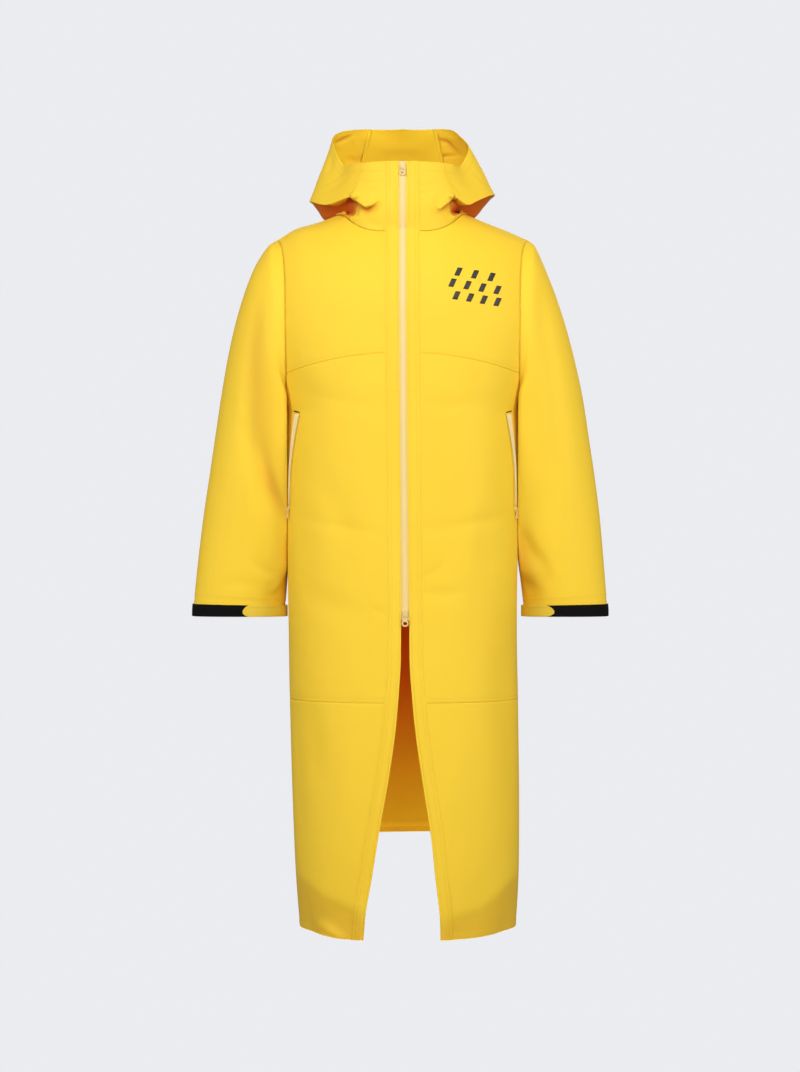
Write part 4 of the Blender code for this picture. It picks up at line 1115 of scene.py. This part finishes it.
def againstBody(side, grid, rings, turns):
    # the sleeve's inner front is drawn onto the body's side, so no deep groove is left between them
    z, ring, turn = grid[..., 2], rings[:, None], turns[None, :]
    half, depth, _ = section(z, -1)
    forward = np.clip(np.abs(grid[..., 1]) / depth, 0, 1)
    edge = half * np.maximum(1 - forward ** coat["oval"], 0) ** (1 / coat["oval"])
    own = sleeveValue("innerLeft" if side < 0 else "innerRight", ring)
    near = mix(np.maximum(edge + against["gap"], against["nearest"]), own, after(ring, *against["ownFrom"]))
    share = after(turn, *against["turnFrom"]) * until(turn, *against["turnTo"])
    share = share * after(ring, *against["ringFrom"]) * until(ring, *against["ringTo"])
    share = share * until(z, *against["top"])
    x = np.abs(grid[..., 0])
    grid[..., 0] = side * mix(x, np.minimum(x, near), share)
    return grid


def sleevePiece(side, word):
    turns = np.linspace(0, 360, sleeveLook["around"], endpoint=False)
    armRing, cuffRing = sleeve["armRing"], sleeve["cuffRing"]
    rings = np.concatenate([
        np.linspace(0, armRing, sleeveLook["armRings"])[:-1],
        np.linspace(armRing, cuffRing - sleeveLook["evenEnd"], sleeveLook["evenRings"]),
        np.linspace(cuffRing - sleeveLook["closeStart"], cuffRing + sleeveLook["closePast"],
                    sleeveLook["closeRings"])])
    grid = againstBody(side, sleeveGrid(side, rings, turns), rings, turns)
    normal = normalsOf(grid, side > 0, True)
    px, py = toPhoto(grid)
    ring, facing = rings[:, None], normal[..., 1]
    amount = strokeDepth(px, py, sleeveLook["creases"][side]) * ease(-facing / sleeveLook["frontOver"])
    amount += strokeDepth(px, py, sleeveLook["backCreases"][side]) * ease(facing / sleeveLook["frontOver"])
    # quiet near the armhole, the body and the cuff
    beside = np.cos(np.radians(turns))[None, :]
    early, over = sleeveLook["quietEnd"]
    quiet = ease(ring / sleeveLook["quietStart"]) * ease((cuffRing - early - ring) / over)
    amount *= quiet * until(beside, *sleeveLook["quietBeside"])
    # painted shade along the troughs, on the sleeve's front only
    warmLampAndPaintedShade = np.clip(strokeDepth(px, py, sleeveLook["warmLampAndPaintedShade"][side]), 0, sleeveLook["paintedShadeMost"])
    shade = warmLampAndPaintedShade * ease(-facing / sleeveLook["paintedShadeOver"])
    amount += turnedIn(ring, *sleeveLook["armTurn"])
    length = distances(grid, 0)
    amount += groovesAt(length, (sleeveLook["armRow"],)) * sleeveLook["armGroove"]
    before, deep, wide = sleeveLook["cuffTurn"]
    amount += turnedIn(length - length[np.argmin(np.abs(rings - (cuffRing - before)))], deep, wide)
    grid = pushed(grid, normal, amount)
    full = lapped(grid, normal, *sleeveLook["lap"], "bottom")
    clothPiece("sleeve_cloth_" + word, "sleeve_" + word, full, side > 0,
               True, shade=lapKept(shade, "bottom"))
    for before in sleeveLook["cuffRows"]:
        row = np.argmin(np.abs(rings - (cuffRing - before)))
        addStitches(np.concatenate([grid[row], grid[row, :1]]),
                    np.concatenate([normal[row], normal[row, :1]]))


def cuffPieces(side, word):
    turns = np.linspace(0, 360, cuff["around"], endpoint=False)
    rings = sleeve["cuffRing"] + np.linspace(*cuff["bandRings"])
    ring, turn = np.meshgrid(rings, turns, indexing="ij")
    band = sleevePoint(side, ring, turn, cuff["bandLift"])
    # the looped pile is uneven
    rng = np.random.default_rng(7 + side)
    normal = normalsOf(band, side > 0, True)
    band = pushed(band, normal, rng.normal(0, cuff["pile"], band.shape[:2]))
    made = makeObject("cuff_band_pile_" + word, gridMesh("cuff_band_pile_" + word, band, side > 0, True),
                      plainMaterial("cuff_band_pile_" + word, "cuffStrip", side))
    addWall(made, cuff["bandThick"], 1)
    softEdge(made)
    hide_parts("cuff_band_" + word)
    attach(made, "coat")

    end, rounding = cuff["tabEnd"][side], cuff["tabRound"][side]
    angles = np.concatenate([np.linspace(cuff["tabStart"], end, cuff["tabSteps"]),
                             end + rounding * cuff["roundSteps"]])
    a, turn = np.meshgrid(np.linspace(-1, 1, cuff["tabAcross"]), angles, indexing="ij")
    past = np.clip((turn - end) / rounding, 0, cuff["roundMost"])
    ring = sleeve["cuffRing"] + cuff["tabMiddle"] + cuff["tabHalf"] * a * np.sqrt(1 - past**2)
    tab = sleevePoint(side, ring, turn, cuff["tabLift"])
    normal = normalsOf(tab, side > 0)
    (crown, wide), (tall, waves) = cuff["crown"], cuff["wave"]
    tab = pushed(tab, normal, crown * bell(a, wide) + tall * np.sin(np.radians(turn) * waves + side))
    made = makeObject("cuff_tab_cloth_" + word, gridMesh("cuff_tab_cloth_" + word, tab, side > 0),
                      clothMaterial("cuff_tab_cloth_" + word, {**yellowCloth, **cuff["tabTone"]},
                                    5.0 + side))
    addWall(made, cuff["tabThick"], 1)
    softEdge(made)
    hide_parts("cuff_tab_" + word)
    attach(made, "coat")
    lifted = tab + normal * cuff["tabThick"]
    first, last = cuff["tabRows"]
    for row in (first, last):
        addStitches(lifted[row, 2:-3], normal[row, 2:-3])
    addStitches(lifted[first:last + 1, -4], normal[first:last + 1, -4])


for sideNow, wordNow in sides:
    sleevePiece(sideNow, wordNow)
    cuffPieces(sideNow, wordNow)
print("sleeves and cuffs made")


# collar and hood

hoodLook = {
    # levels between the close ones at the seam, the fold and the rim: where each run starts, and its count
    "runs": ((0, 6), (0.12, 46), (1.86, 21), (2.06, 46), (3.86, 9)), "topLevel": 4,
    "collarColumns": 72, "sideColumns": 110, "centreColumns": 25,
    "rimTurn": (0.0007, 0.0011), "seamTurn": (0.0004, 0.0009), "rimRow": 0.016, "seamRow": 0.0030,
    "groove": 0.3,
    "lap": (0.006, 0.0014), "outerLap": (0.006, 0.0013), "seamRows": (0.0022, 0.0065), "soft": 0.002,
    # painted shade under the collar's cliffs and in the hood's inside creases: the depth that gives full
    # shade, and its share
    "cliffShade": (0.008, 0.75), "creaseShade": (0.004, 0.5), "outsideFrom": (0.4, 0.5), "insideOver": 0.3,
    # the inside creases lie above this row of the photo, and the cliffs beyond these columns of it
    "insideTop": 165, "cliffEnds": {-1: 345, 1: 459}, "cliffOver": 4,
    "collarFlat": (0.10, 0.13), "collarArea": 0.0100,
    "sideFlat": (0.25, 0.25), "sideArea": {-1: 0.0457, 1: 0.0441},
    "centreFlat": (0.18, 0.25), "centreArea": 0.0349,
    "collarCreases": {
        -1: [([(358, 181), (371, 182.5), (384, 181)], 1.6, -0.0008),
             ([(361, 189), (372, 190.5), (385, 188)], 1.8, -0.0009),
             ([(366, 222), (376, 225), (384, 224)], 3, -0.0010),
             ([(352.5, 208), (353, 213), (351, 219)], 1.6, -0.0022),
             ([(380, 199), (378, 205), (368, 216)], 3, -0.0010),
             ([(388, 172), (393, 186), (391, 200)], 3, -0.0006)],
        1: [([(412, 184), (426, 187), (441, 184)], 1.6, -0.0008),
            ([(412, 192), (424, 194), (438, 190)], 1.8, -0.0008),
            ([(430, 196), (432, 206), (446, 220)], 3.5, 0.0022),
            ([(456.5, 205.5), (455, 209), (453, 214)], 1.5, -0.0022),
            ([(424, 178), (430, 182), (439, 180)], 1.5, -0.0006)],
    },
    "collarCliffs": {
        -1: [([(348.5, 195), (352.5, 197.8), (355.7, 199.8), (360.9, 204.4), (365.5, 207.6), (372, 205.5),
               (381, 199)], 0.0040, 0.0095, 5.5, 1)],
        1: [([(455.5, 195), (453.5, 197), (449, 201.8), (444.5, 206), (440, 209.7), (434, 206)],
             0.0030, 0.0075, 5.0, -1)],
    },
    "sideCreases": {
        -1: [([(333.5, 142), (330.5, 157), (328, 175)], 4, -0.0030),
             ([(316, 188), (331, 181), (348, 170)], 1.4, -0.0009),
             ([(320, 195), (338, 185), (353, 172)], 1.6, -0.0008),
             ([(336, 152), (341, 163), (349, 171)], 3.0, 0.0012)],
        1: [([(447, 177), (456, 187), (467, 197)], 4, -0.0024),
            ([(473, 172), (481, 180), (490, 187)], 1.6, -0.0008),
            ([(458, 161), (466, 166), (476, 168)], 2.0, -0.0008),
            ([(466, 146), (472, 160), (480, 176)], 4, 0.0010)],
    },
    "insideCreases": {   # seen on the hood's inside, so they push outwards
        -1: [([(334, 143.5), (341, 140.5), (352, 135.5)], 2.0, 0.0036),
             ([(344, 158), (355, 160), (368, 157)], 3.5, 0.0016),
             ([(352, 136), (355, 142), (357, 149)], 2.5, -0.0012)],
        1: [([(438, 139), (448, 142.5), (455, 150), (461, 154.5)], 2.4, 0.0040),
            ([(422, 159), (436, 157), (450, 155.5), (461, 154.8)], 1.6, 0.0026),
            ([(448, 136), (456, 139), (462, 146)], 3.0, -0.0016)],
    },
    "centreCreases": [([(372, 131), (400, 141), (432, 138)], 7, 0.0012),
                      ([(380, 158), (402, 154), (424, 158)], 5, 0.0012)],
}


def hoodLevels():
    starts = [start for start, _ in hoodLook["runs"]] + [hoodLook["topLevel"]]
    runs = [np.linspace(a, b, count)[:-1] for a, b, (_, count) in zip(starts, starts[1:], hoodLook["runs"])]
    return np.concatenate(runs + [[hoodLook["topLevel"]]])


def hoodGrid(side, start, end, count):
    # start and end are angles at each level
    levels = hoodLevels()[:, None]
    t = np.linspace(0, 1, count)[None, :]
    reach = np.linalg.norm(hoodPoint(side, (start(levels) + end(levels)) / 2, levels)[..., :2], axis=-1)
    part = np.degrees(coat["seam"] / 2 / reach)
    degrees = mix(start(levels) + part, end(levels) - part, t)
    return hoodPoint(side, degrees, levels + 0 * t, True)


def collarSeam(level):
    return curveAt(range(5), hood["collarSeam"], level)


def edgeWork(grid, clear=0.0):
    # rolled rim and turned seam edges, left out under the placket
    top, bottom = distances(grid, 0, True), distances(grid, 0)

    def grooved(distance, row):
        return groovesAt(distance, (hoodLook[row],)) * hoodLook["groove"]

    amount = turnedIn(top, *hoodLook["rimTurn"]) + grooved(top, "rimRow")
    amount += turnedIn(bottom, *hoodLook["seamTurn"])
    inner, outer = distances(grid, 1), distances(grid, 1, True)
    side = outer if clear else np.minimum(inner, outer)
    amount += turnedIn(side, *hoodLook["seamTurn"]) + grooved(side, "seamRow")
    return amount * after(inner, clear, hoodLook["soft"]) if clear else amount


def foldShade(side, grid, levels):
    # painted shade: how far a point lies in the recess under the fold
    fold = hood["fold"]
    degrees = np.degrees(np.arctan2(side * grid[..., 0], -grid[..., 1]))
    depth = curveAt(fold["angles"], fold["shade"], degrees) * until(levels, fold["level"], fold["shadeLip"])
    bottom = curveAt(fold["angles"], fold["bottom"], degrees)
    return depth * ease((levels - bottom + fold["shadeBelow"]) / fold["shadeOver"])


def hoodPieces(side, word):
    edge = edgeGap(-1, np.array(0.0))

    def start(level):
        reach = np.linalg.norm(hoodPoint(side, 0 * level, level)[..., :2], axis=-1)
        return np.degrees(np.arcsin(edge / reach))

    grid = hoodGrid(side, start, collarSeam, hoodLook["collarColumns"])
    normal = normalsOf(grid, side < 0)
    px, py = toPhoto(grid)
    cliffs = hoodLook["collarCliffs"][side]
    creases = strokeDepth(px, py, hoodLook["collarCreases"][side])
    soft = pushed(grid, normal, creases + cliffDepth(px, py, cliffs))
    frontGrids["collar", side] = soft
    # painted shade under the collar's cliffs
    depth, share = hoodLook["cliffShade"]
    shade = np.clip(-cliffDepth(px, py, cliffs) / depth, 0, 1) * share
    grid = pushed(soft, normal, edgeWork(grid, front["placket"]))
    full = lapped(grid, normal, *hoodLook["lap"], "bottom")
    full = lapped(full, lapKept(normal, "bottom"), *hoodLook["outerLap"], "outer")
    clothPiece("collar_cloth_" + word, "collar_" + word, full, side < 0,
               shade=lapKept(lapKept(shade, "bottom"), "outer"),
               inside="hoodInside")
    line, up = edgeLine(0, grid, normal, hoodLook["rimRow"], True)
    beyond = distances(grid, 1)[-1] > front["placket"]
    addStitches(line[beyond], up[beyond])

    grid = hoodGrid(side, collarSeam, lambda level: 0 * level + hood["centreSeam"], hoodLook["sideColumns"])
    normal = normalsOf(grid, side < 0)
    px, py = toPhoto(grid)
    over, start = hoodLook["outsideFrom"]
    outside = ease(-normal[..., 1] / over + start)
    inside = ease(normal[..., 1] / hoodLook["insideOver"]) * (py < hoodLook["insideTop"])
    amount = strokeDepth(px, py, hoodLook["sideCreases"][side]) * outside
    beyond = (hoodLook["cliffEnds"][side] - px) * side / hoodLook["cliffOver"]
    amount += cliffDepth(px, py, cliffs) * outside * ease(beyond)
    within = strokeDepth(px, py, hoodLook["insideCreases"][side])
    # painted shade in the recess under the fold and in the inside creases
    depth, share = hoodLook["creaseShade"]
    shade = foldShade(side, grid, hoodLevels()[:, None]) + np.clip(within / depth, 0, 1) * inside * share
    amount += within * inside + edgeWork(grid)
    grid = pushed(grid, normal, amount)
    full = lapped(grid, normal, *hoodLook["lap"], "bottom")
    clothPiece("hood_cloth_" + word, "hood_" + word, full, side < 0,
               shade=lapKept(shade, "bottom"), inside="hoodInside")
    addStitches(*edgeLine(0, grid, normal, hoodLook["rimRow"], True))
    for offset in hoodLook["seamRows"]:
        addStitches(*edgeLine(1, grid, normal, offset))
        addStitches(*edgeLine(1, grid, normal, offset, True))


def hoodCentre():
    levels = hoodLevels()[:, None]
    reach = np.linalg.norm(hoodPoint(1, 0 * levels + hood["centreSeam"], levels)[..., :2], axis=-1)
    start = hood["centreSeam"] + np.degrees(coat["seam"] / 2 / reach)
    t = np.linspace(0, 1, hoodLook["centreColumns"])[None, :]
    left = hoodPoint(-1, mix(start, 180, t), levels + 0 * t, True)
    right = hoodPoint(1, mix(start, 180, t), levels + 0 * t, True)
    grid = np.concatenate([left, right[:, ::-1][:, 1:]], 1)
    normal = normalsOf(grid, True)
    grid = pushed(grid, normal, edgeWork(grid) + strokeDepth(*toPhoto(grid), hoodLook["centreCreases"]))
    full = grid
    for edge in ("bottom", "outer", "inner"):
        full, normal = lapped(full, normal, *hoodLook["outerLap"], edge), lapKept(normal, edge)
    clothPiece("hood_centre_cloth", "hood_centre", full, True,
               inside="hoodInside")
    addStitches(*edgeLine(0, grid, normalsOf(grid, True), hoodLook["rimRow"], True))


for sideNow, wordNow in sides:
    hoodPieces(sideNow, wordNow)
    placketStrip(sideNow, wordNow)
hoodCentre()
print("collar and hood made")


# zips

zipLook = {
    "tapeHalf": 0.0108, "tapeSink": 0.0008, "tapeThick": 0.0007, "rowGap": 0.0002,
    # a tooth's reach across, depth and height, how far its front is drawn in, and where it stands
    "toothPitch": 0.00215, "toothSize": (0.0033, 0.0016, 0.00093), "toothTaper": 0.72,
    "toothSink": 0.0004, "toothOut": 0.36, "toothEnd": 0.003,
}


def zipPath():
    # along the right front's inner edge, moved to the middle of the opening
    line = np.concatenate([frontGrids[name, 1][:, 0] for name in ("middle", "yoke", "collar")], 0)
    line = line[line[:, 2] > coat["slitZ"]]
    line = line[np.concatenate([[True], np.diff(line[:, 2]) > zipLook["rowGap"]])]
    line = np.concatenate([[[line[0, 0], line[0, 1], coat["slitZ"]]], line])
    middle = line.copy()
    middle[:, 0] = curveAt(opening["z"], opening["drift"], line[:, 2])
    tangent = np.gradient(middle, axis=0)
    inward = np.stack([0 * tangent[:, 0], tangent[:, 2], -tangent[:, 1]], -1)
    return middle, inward / np.linalg.norm(inward, axis=-1)[:, None]


def addBlock(vertices, faces, centre, axes, size, taper):
    # box with its front face drawn in
    base = len(vertices)
    x, y, z = axes
    for back, share in ((1, 1.0), (-1, taper)):
        for sx, sz in ((-1, -1), (1, -1), (1, 1), (-1, 1)):
            corner = centre + x * sx * size[0] / 2 * share + z * sz * size[2] / 2 * share
            vertices.append(corner + y * back * size[1] / 2)
    for face in ((0, 1, 2, 3), (7, 6, 5, 4), (0, 4, 5, 1), (1, 5, 6, 2), (2, 6, 7, 3), (3, 7, 4, 0)):
        faces.append([base + i for i in face])


def blockObject(name, vertices, faces, material, bodyName):
    mesh = listMesh(name, vertices, faces)
    work = bmesh.new()
    work.from_mesh(mesh)
    bmesh.ops.recalc_face_normals(work, faces=work.faces)
    work.to_mesh(mesh)
    work.free()
    made = makeObject(name, mesh, material)
    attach(made, bodyName)
    return made


def frontZip():
    middle, inward = zipPath()
    # tape under the two plackets
    offsets = np.linspace(-1, 1, 9) * zipLook["tapeHalf"]
    grid = np.stack([middle + inward * zipLook["tapeSink"] + np.array([x, 0, 0]) for x in offsets], 1)
    tape = makeObject("front_zip_tape", gridMesh("front_zip_tape", grid),
                      plainMaterial("front_zip_tape", "zipTape"))
    addWall(tape, zipLook["tapeThick"])
    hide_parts("front_zip")
    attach(tape, "coat")
    # teeth from both sides in turn
    total, (reach, deep, _) = lengthAlong(middle), zipLook["toothSize"]
    places = np.arange(zipLook["toothEnd"], total[-1] - zipLook["toothEnd"], zipLook["toothPitch"] / 2)
    vertices, faces = [], []
    centres, inwards = pointsAt(places, total, middle), pointsAt(places, total, inward)
    for i, (centre, into) in enumerate(zip(centres, inwards)):
        into = into / np.linalg.norm(into)
        side = 1 if i % 2 else -1
        axes = (np.array([1.0, 0, 0]), into, np.cross(np.array([1.0, 0, 0]), into) * -1)
        place = centre + into * (zipLook["toothSink"] + deep / 2)
        place = place + axes[0] * side * reach * zipLook["toothOut"]
        addBlock(vertices, faces, place, axes, zipLook["toothSize"], zipLook["toothTaper"])
    blockObject("front_zip_teeth", vertices, faces, plainMaterial("front_zip_teeth", "zipTeeth"), "coat")


pocketLook = {
    "z": (-0.4900, -0.4500, -0.4150, -0.3750, -0.3345), "share": (0.965, 0.962, 0.952, 0.930, 0.900),
    "half": (0.0032, 0.0040, 0.0052, 0.0064, 0.0074), "out": 0.0012, "weltThick": 0.0008, "rows": 60,
    # the two welts, as places across the strip and their height there
    "across": (-1, -0.86, -0.6, -0.3, -0.1, -0.04, 0.04, 0.1, 0.3, 0.6, 0.86, 1.0),
    "crown": (-0.5, 0.3, 0.6, 0.6, 0.35, -0.4, -0.4, 0.35, 0.6, 0.6, 0.3, -0.5), "crownTall": 0.0005,
    "stitchRows": (-0.0088, 0.0082), "stitchPast": (0.003, 0.001), "turnStep": 0.02,
    "bar": {"z": -0.3304, "half": 0.0086, "tall": 0.0022, "lean": -0.20, "lift": 0.0012, "crown": 0.0007,
            "thick": 0.0009, "rounding": 6},
}


def pocketPoint(side, z, acrossBy, out):
    angle = ovalAngle(curveAt(pocketLook["z"], pocketLook["share"], z))
    here, ahead = levelPoint(side, -1, z, angle), levelPoint(side, -1, z, angle + pocketLook["turnStep"])
    way = ahead - here
    way /= np.linalg.norm(way, axis=-1)[..., None]
    normal = joined(-way[..., 1], way[..., 0], 0 * z) * -side
    normal *= np.sign(normal[..., :1] * side)
    return here + way * np.asarray(acrossBy)[..., None] + normal * np.asarray(out)[..., None], normal


def pocketZip(side, word):
    # two welts over a fine slot, narrower at the bottom as in the photo
    low, high = pocketLook["z"][0], pocketLook["z"][-1]
    z = np.linspace(low, high, pocketLook["rows"])[:, None]
    across, crown = np.array(pocketLook["across"])[None, :], np.array(pocketLook["crown"])[None, :]
    out = pocketLook["out"] + crown * pocketLook["crownTall"]
    half = curveAt(pocketLook["z"], pocketLook["half"], z)
    grid, _ = pocketPoint(side, z + 0 * across, across * half, out + 0 * z)
    made = makeObject("pocket_zip_welt_" + word, gridMesh("pocket_zip_welt_" + word, grid, side < 0),
                      plainMaterial("pocket_zip_welt_" + word, "zipTeeth", side))
    addWall(made, pocketLook["weltThick"])
    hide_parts("pocket_zip_" + word)
    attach(made, "coat")
    # a row of stitches on each side of the strip
    below, above = pocketLook["stitchPast"]
    z = np.linspace(low - below, high + above, pocketLook["rows"])
    for offset in pocketLook["stitchRows"]:
        addStitches(*pocketPoint(side, z, 0 * z + offset, 0 * z))


def pocketBar(side, word):
    # painted shade: a short near-black bar over the strip's top, where shade falls, leaning as in the photo
    bar = pocketLook["bar"]
    t, up = np.meshgrid(np.linspace(-1, 1, 15), np.linspace(-1, 1, 7), indexing="xy")
    rounded = np.sqrt(np.maximum(0, 1 - np.abs(t) ** bar["rounding"]))
    z = bar["z"] + up * bar["tall"] / 2 * rounded - t * bar["half"] * bar["lean"]
    out = bar["lift"] + bar["crown"] * (1 - up**2) * rounded
    grid, _ = pocketPoint(side, z, t * bar["half"] + 0 * z, out)
    name = "pocket_shade_bar_" + word
    made = makeObject(name, gridMesh(name, grid, side < 0), plainMaterial(name, "paintedPocketShade", side))
    addWall(made, bar["thick"])
    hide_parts("pocket_bar_" + word)
    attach(made, "coat")


def finishNode(nodeName, finish, seed):
    # a CAD piece whose shape is right keeps it and gets its finish
    piece = bpy.data.objects[nodeName] if nodeName in bpy.data.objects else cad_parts[nodeName]
    made = plainMaterial(nodeName + "_finish", finish, seed)
    if piece.material_slots:
        for one in piece.material_slots:
            one.material = made
    else:
        piece.data.materials.append(made)


frontZip()
for sideNow, wordNow in sides:
    pocketZip(sideNow, wordNow)
    pocketBar(sideNow, wordNow)
    for nodeName in ("pocket_slider_" + wordNow, "pocket_pull_" + wordNow):
        finishNode(nodeName, "zipPull", sideNow)
for nodeName in ("slider_top", "pull_top", "slider_bottom", "pull_bottom"):
    finishNode(nodeName, "zipPull", 2.0)
print("zips made")


# small plain mark on the chest: slanted dashes

mark = {
    # left end, top, width and number of dashes of each row, and the dashes' form, in the photo's pixels
    "rows": ((456, 266, 38, 3), (450, 278, 50, 4), (454, 290, 46, 4)),
    "tall": 8.6, "wide": 5.0, "lean": 3.6, "tilt": 0.16, "tiltFrom": 450,
    "across": 5, "down": 7, "lift": 0.00035, "thick": 0.0002,
}


def fromPhoto(px, py):
    # the right front's point that shows at a pixel
    grid = frontGrids["yoke", 1]
    gx, gy = toPhoto(grid)
    r, c = np.unravel_index(np.argmin((gx - px) ** 2 + (gy - py) ** 2), gx.shape)
    r, c = min(max(r, 1), grid.shape[0] - 2), min(max(c, 1), grid.shape[1] - 2)
    dcx, dcy = (gx[r, c + 1] - gx[r, c - 1]) / 2, (gy[r, c + 1] - gy[r, c - 1]) / 2
    drx, dry = (gx[r + 1, c] - gx[r - 1, c]) / 2, (gy[r + 1, c] - gy[r - 1, c]) / 2
    det = dcx * dry - dcy * drx
    ox, oy = px - gx[r, c], py - gy[r, c]
    s, t = (ox * dry - oy * drx) / det, (dcx * oy - dcy * ox) / det
    alongRow, upColumn = (grid[r, c + 1] - grid[r, c - 1]) / 2, (grid[r + 1, c] - grid[r - 1, c]) / 2
    return grid[r, c] + alongRow * s + upColumn * t


def chestMark():
    vertices, faces = [], []
    for left, top, wide, count in mark["rows"]:
        for i in range(count):
            x0 = left + (wide - mark["wide"]) * i / (count - 1)
            base = len(vertices)
            for across in np.linspace(0, 1, mark["across"]):
                for down in np.linspace(0, 1, mark["down"]):
                    px = x0 + mark["wide"] * across + mark["lean"] * (0.5 - down)
                    py = top + (px - mark["tiltFrom"]) * mark["tilt"] + mark["tall"] * down
                    vertices.append(fromPhoto(px, py) + np.array([0, -mark["lift"], 0]))
            for a in range(mark["across"] - 1):
                for d in range(mark["down"] - 1):
                    first = base + a * mark["down"] + d
                    beside = first + mark["down"]
                    faces.append([first, first + 1, beside + 1, beside])
    mesh = listMesh("chest_mark", vertices, faces)
    mesh.shade_smooth()
    made = makeObject("chest_mark", mesh, plainMaterial("chest_mark", "printInk"))
    addWall(made, mark["thick"], 0)
    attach(made, "coat")


chestMark()
makeStitches("stitches", "coat")
print("stitches made")


# floor, light and camera

studio = {
    "pale": (0.831, 0.840, 0.871), "above": 0.30, "below": 0.20, "lowest": -0.5,
    "floorHalf": 6, "floorZ": -1.75, "white": (1.0, 0.99, 0.97), "warmLampAndPaintedShade": (1.0, 0.86, 0.55),
    # each light's place, what it faces, its size, power and tint
    "key": ((0.1, -3.3, 1.35), (0, 0, -0.36), (2.6, 1.5), 72, "white"),
    "left": ((-2.8, -2.35, 0.40), (0, 0, -0.45), (1.0, 1.8), 50, "white"),
    "right": ((2.8, -2.35, 0.40), (0, 0, -0.45), (1.0, 1.8), 51, "white"),
    "back": ((0.3, 3.4, 0.9), (0, 0, -0.5), (2.4, 1.6), 60, "white"),
    "slit": ((0.0, -0.02, -1.70), (0, 0.125, -0.95), (0.22, 0.16), 3.9, "warmLampAndPaintedShade"),
}


def studioLight(name, place, aim, size, power, tint):
    light = bpy.data.lights.new(name, "AREA")
    light.shape = "RECTANGLE"
    light.size, light.size_y = size
    light.energy = power
    light.color = studio[tint]
    made = bpy.data.objects.new(name, light)
    bpy.context.scene.collection.objects.link(made)
    made.location = place
    made.rotation_euler = (Vector(aim) - Vector(place)).to_track_quat("-Z", "Y").to_euler()


def makeStudio():
    world = bpy.data.worlds.new("studio")
    bpy.context.scene.world = world
    world.use_nodes = True
    tree = world.node_tree
    tree.nodes.clear()
    seen = node(tree, "ShaderNodeBackground", Color=(*studio["pale"], 1), Strength=1.0)
    felt = node(tree, "ShaderNodeBackground", Color=(1, 1, 1, 1))
    # more light from above than from below
    place, split = node(tree, "ShaderNodeTexCoord"), node(tree, "ShaderNodeSeparateXYZ")
    level = node(tree, "ShaderNodeMapRange")
    level.inputs["From Min"].default_value = studio["lowest"]
    level.inputs["To Min"].default_value = studio["below"]
    level.inputs["To Max"].default_value = studio["above"]
    wire(place, "Generated", split, "Vector")
    wire(split, "Z", level, "Value")
    wire(level, "Result", felt, "Strength")
    path, both = node(tree, "ShaderNodeLightPath"), node(tree, "ShaderNodeMixShader")
    out = node(tree, "ShaderNodeOutputWorld")
    wire(path, "Is Camera Ray", both, "Fac")
    wire(felt, "Background", both, 1)
    wire(seen, "Background", both, 2)
    wire(both, "Shader", out, "Surface")
    # the floor's own glow is the backdrop's shade, so no edge shows
    made, _, shader = blankMaterial("pale_floor", 1.0)
    shader.inputs["Base Color"].default_value = (0, 0, 0, 1)
    shader.inputs["Specular IOR Level"].default_value = 0
    shader.inputs["Emission Color"].default_value = (*studio["pale"], 1)
    shader.inputs["Emission Strength"].default_value = 1.0
    half, z = studio["floorHalf"], studio["floorZ"]
    corners = [(-half, -half, z), (half, -half, z), (half, half, z), (-half, half, z)]
    floor = makeObject("floor", listMesh("floor", corners, [(0, 1, 2, 3)]), made)
    floor.visible_diffuse = floor.visible_glossy = False
    for name in ("key", "left", "right", "back", "slit"):
        studioLight(name + "_light", *studio[name])
    view = bpy.data.cameras.new("photo_camera")
    view.sensor_fit = "AUTO"
    view.sensor_width = camera["sensor"]
    view.lens = camera["sensor"] * camera["away"] / (camera["photoTall"] * camera["metresPerPixel"])
    view.clip_end = camera["farthest"]
    eye = bpy.data.objects.new("photo_camera", view)
    bpy.context.scene.collection.objects.link(eye)
    eye.location = (camera["x"], -camera["away"], camera["z"])
    eye.rotation_euler = (math.pi / 2, 0, 0)
    bpy.context.scene.camera = eye
    bpy.context.scene.view_settings.view_transform = "Standard"


makeStudio()
print("studio made")
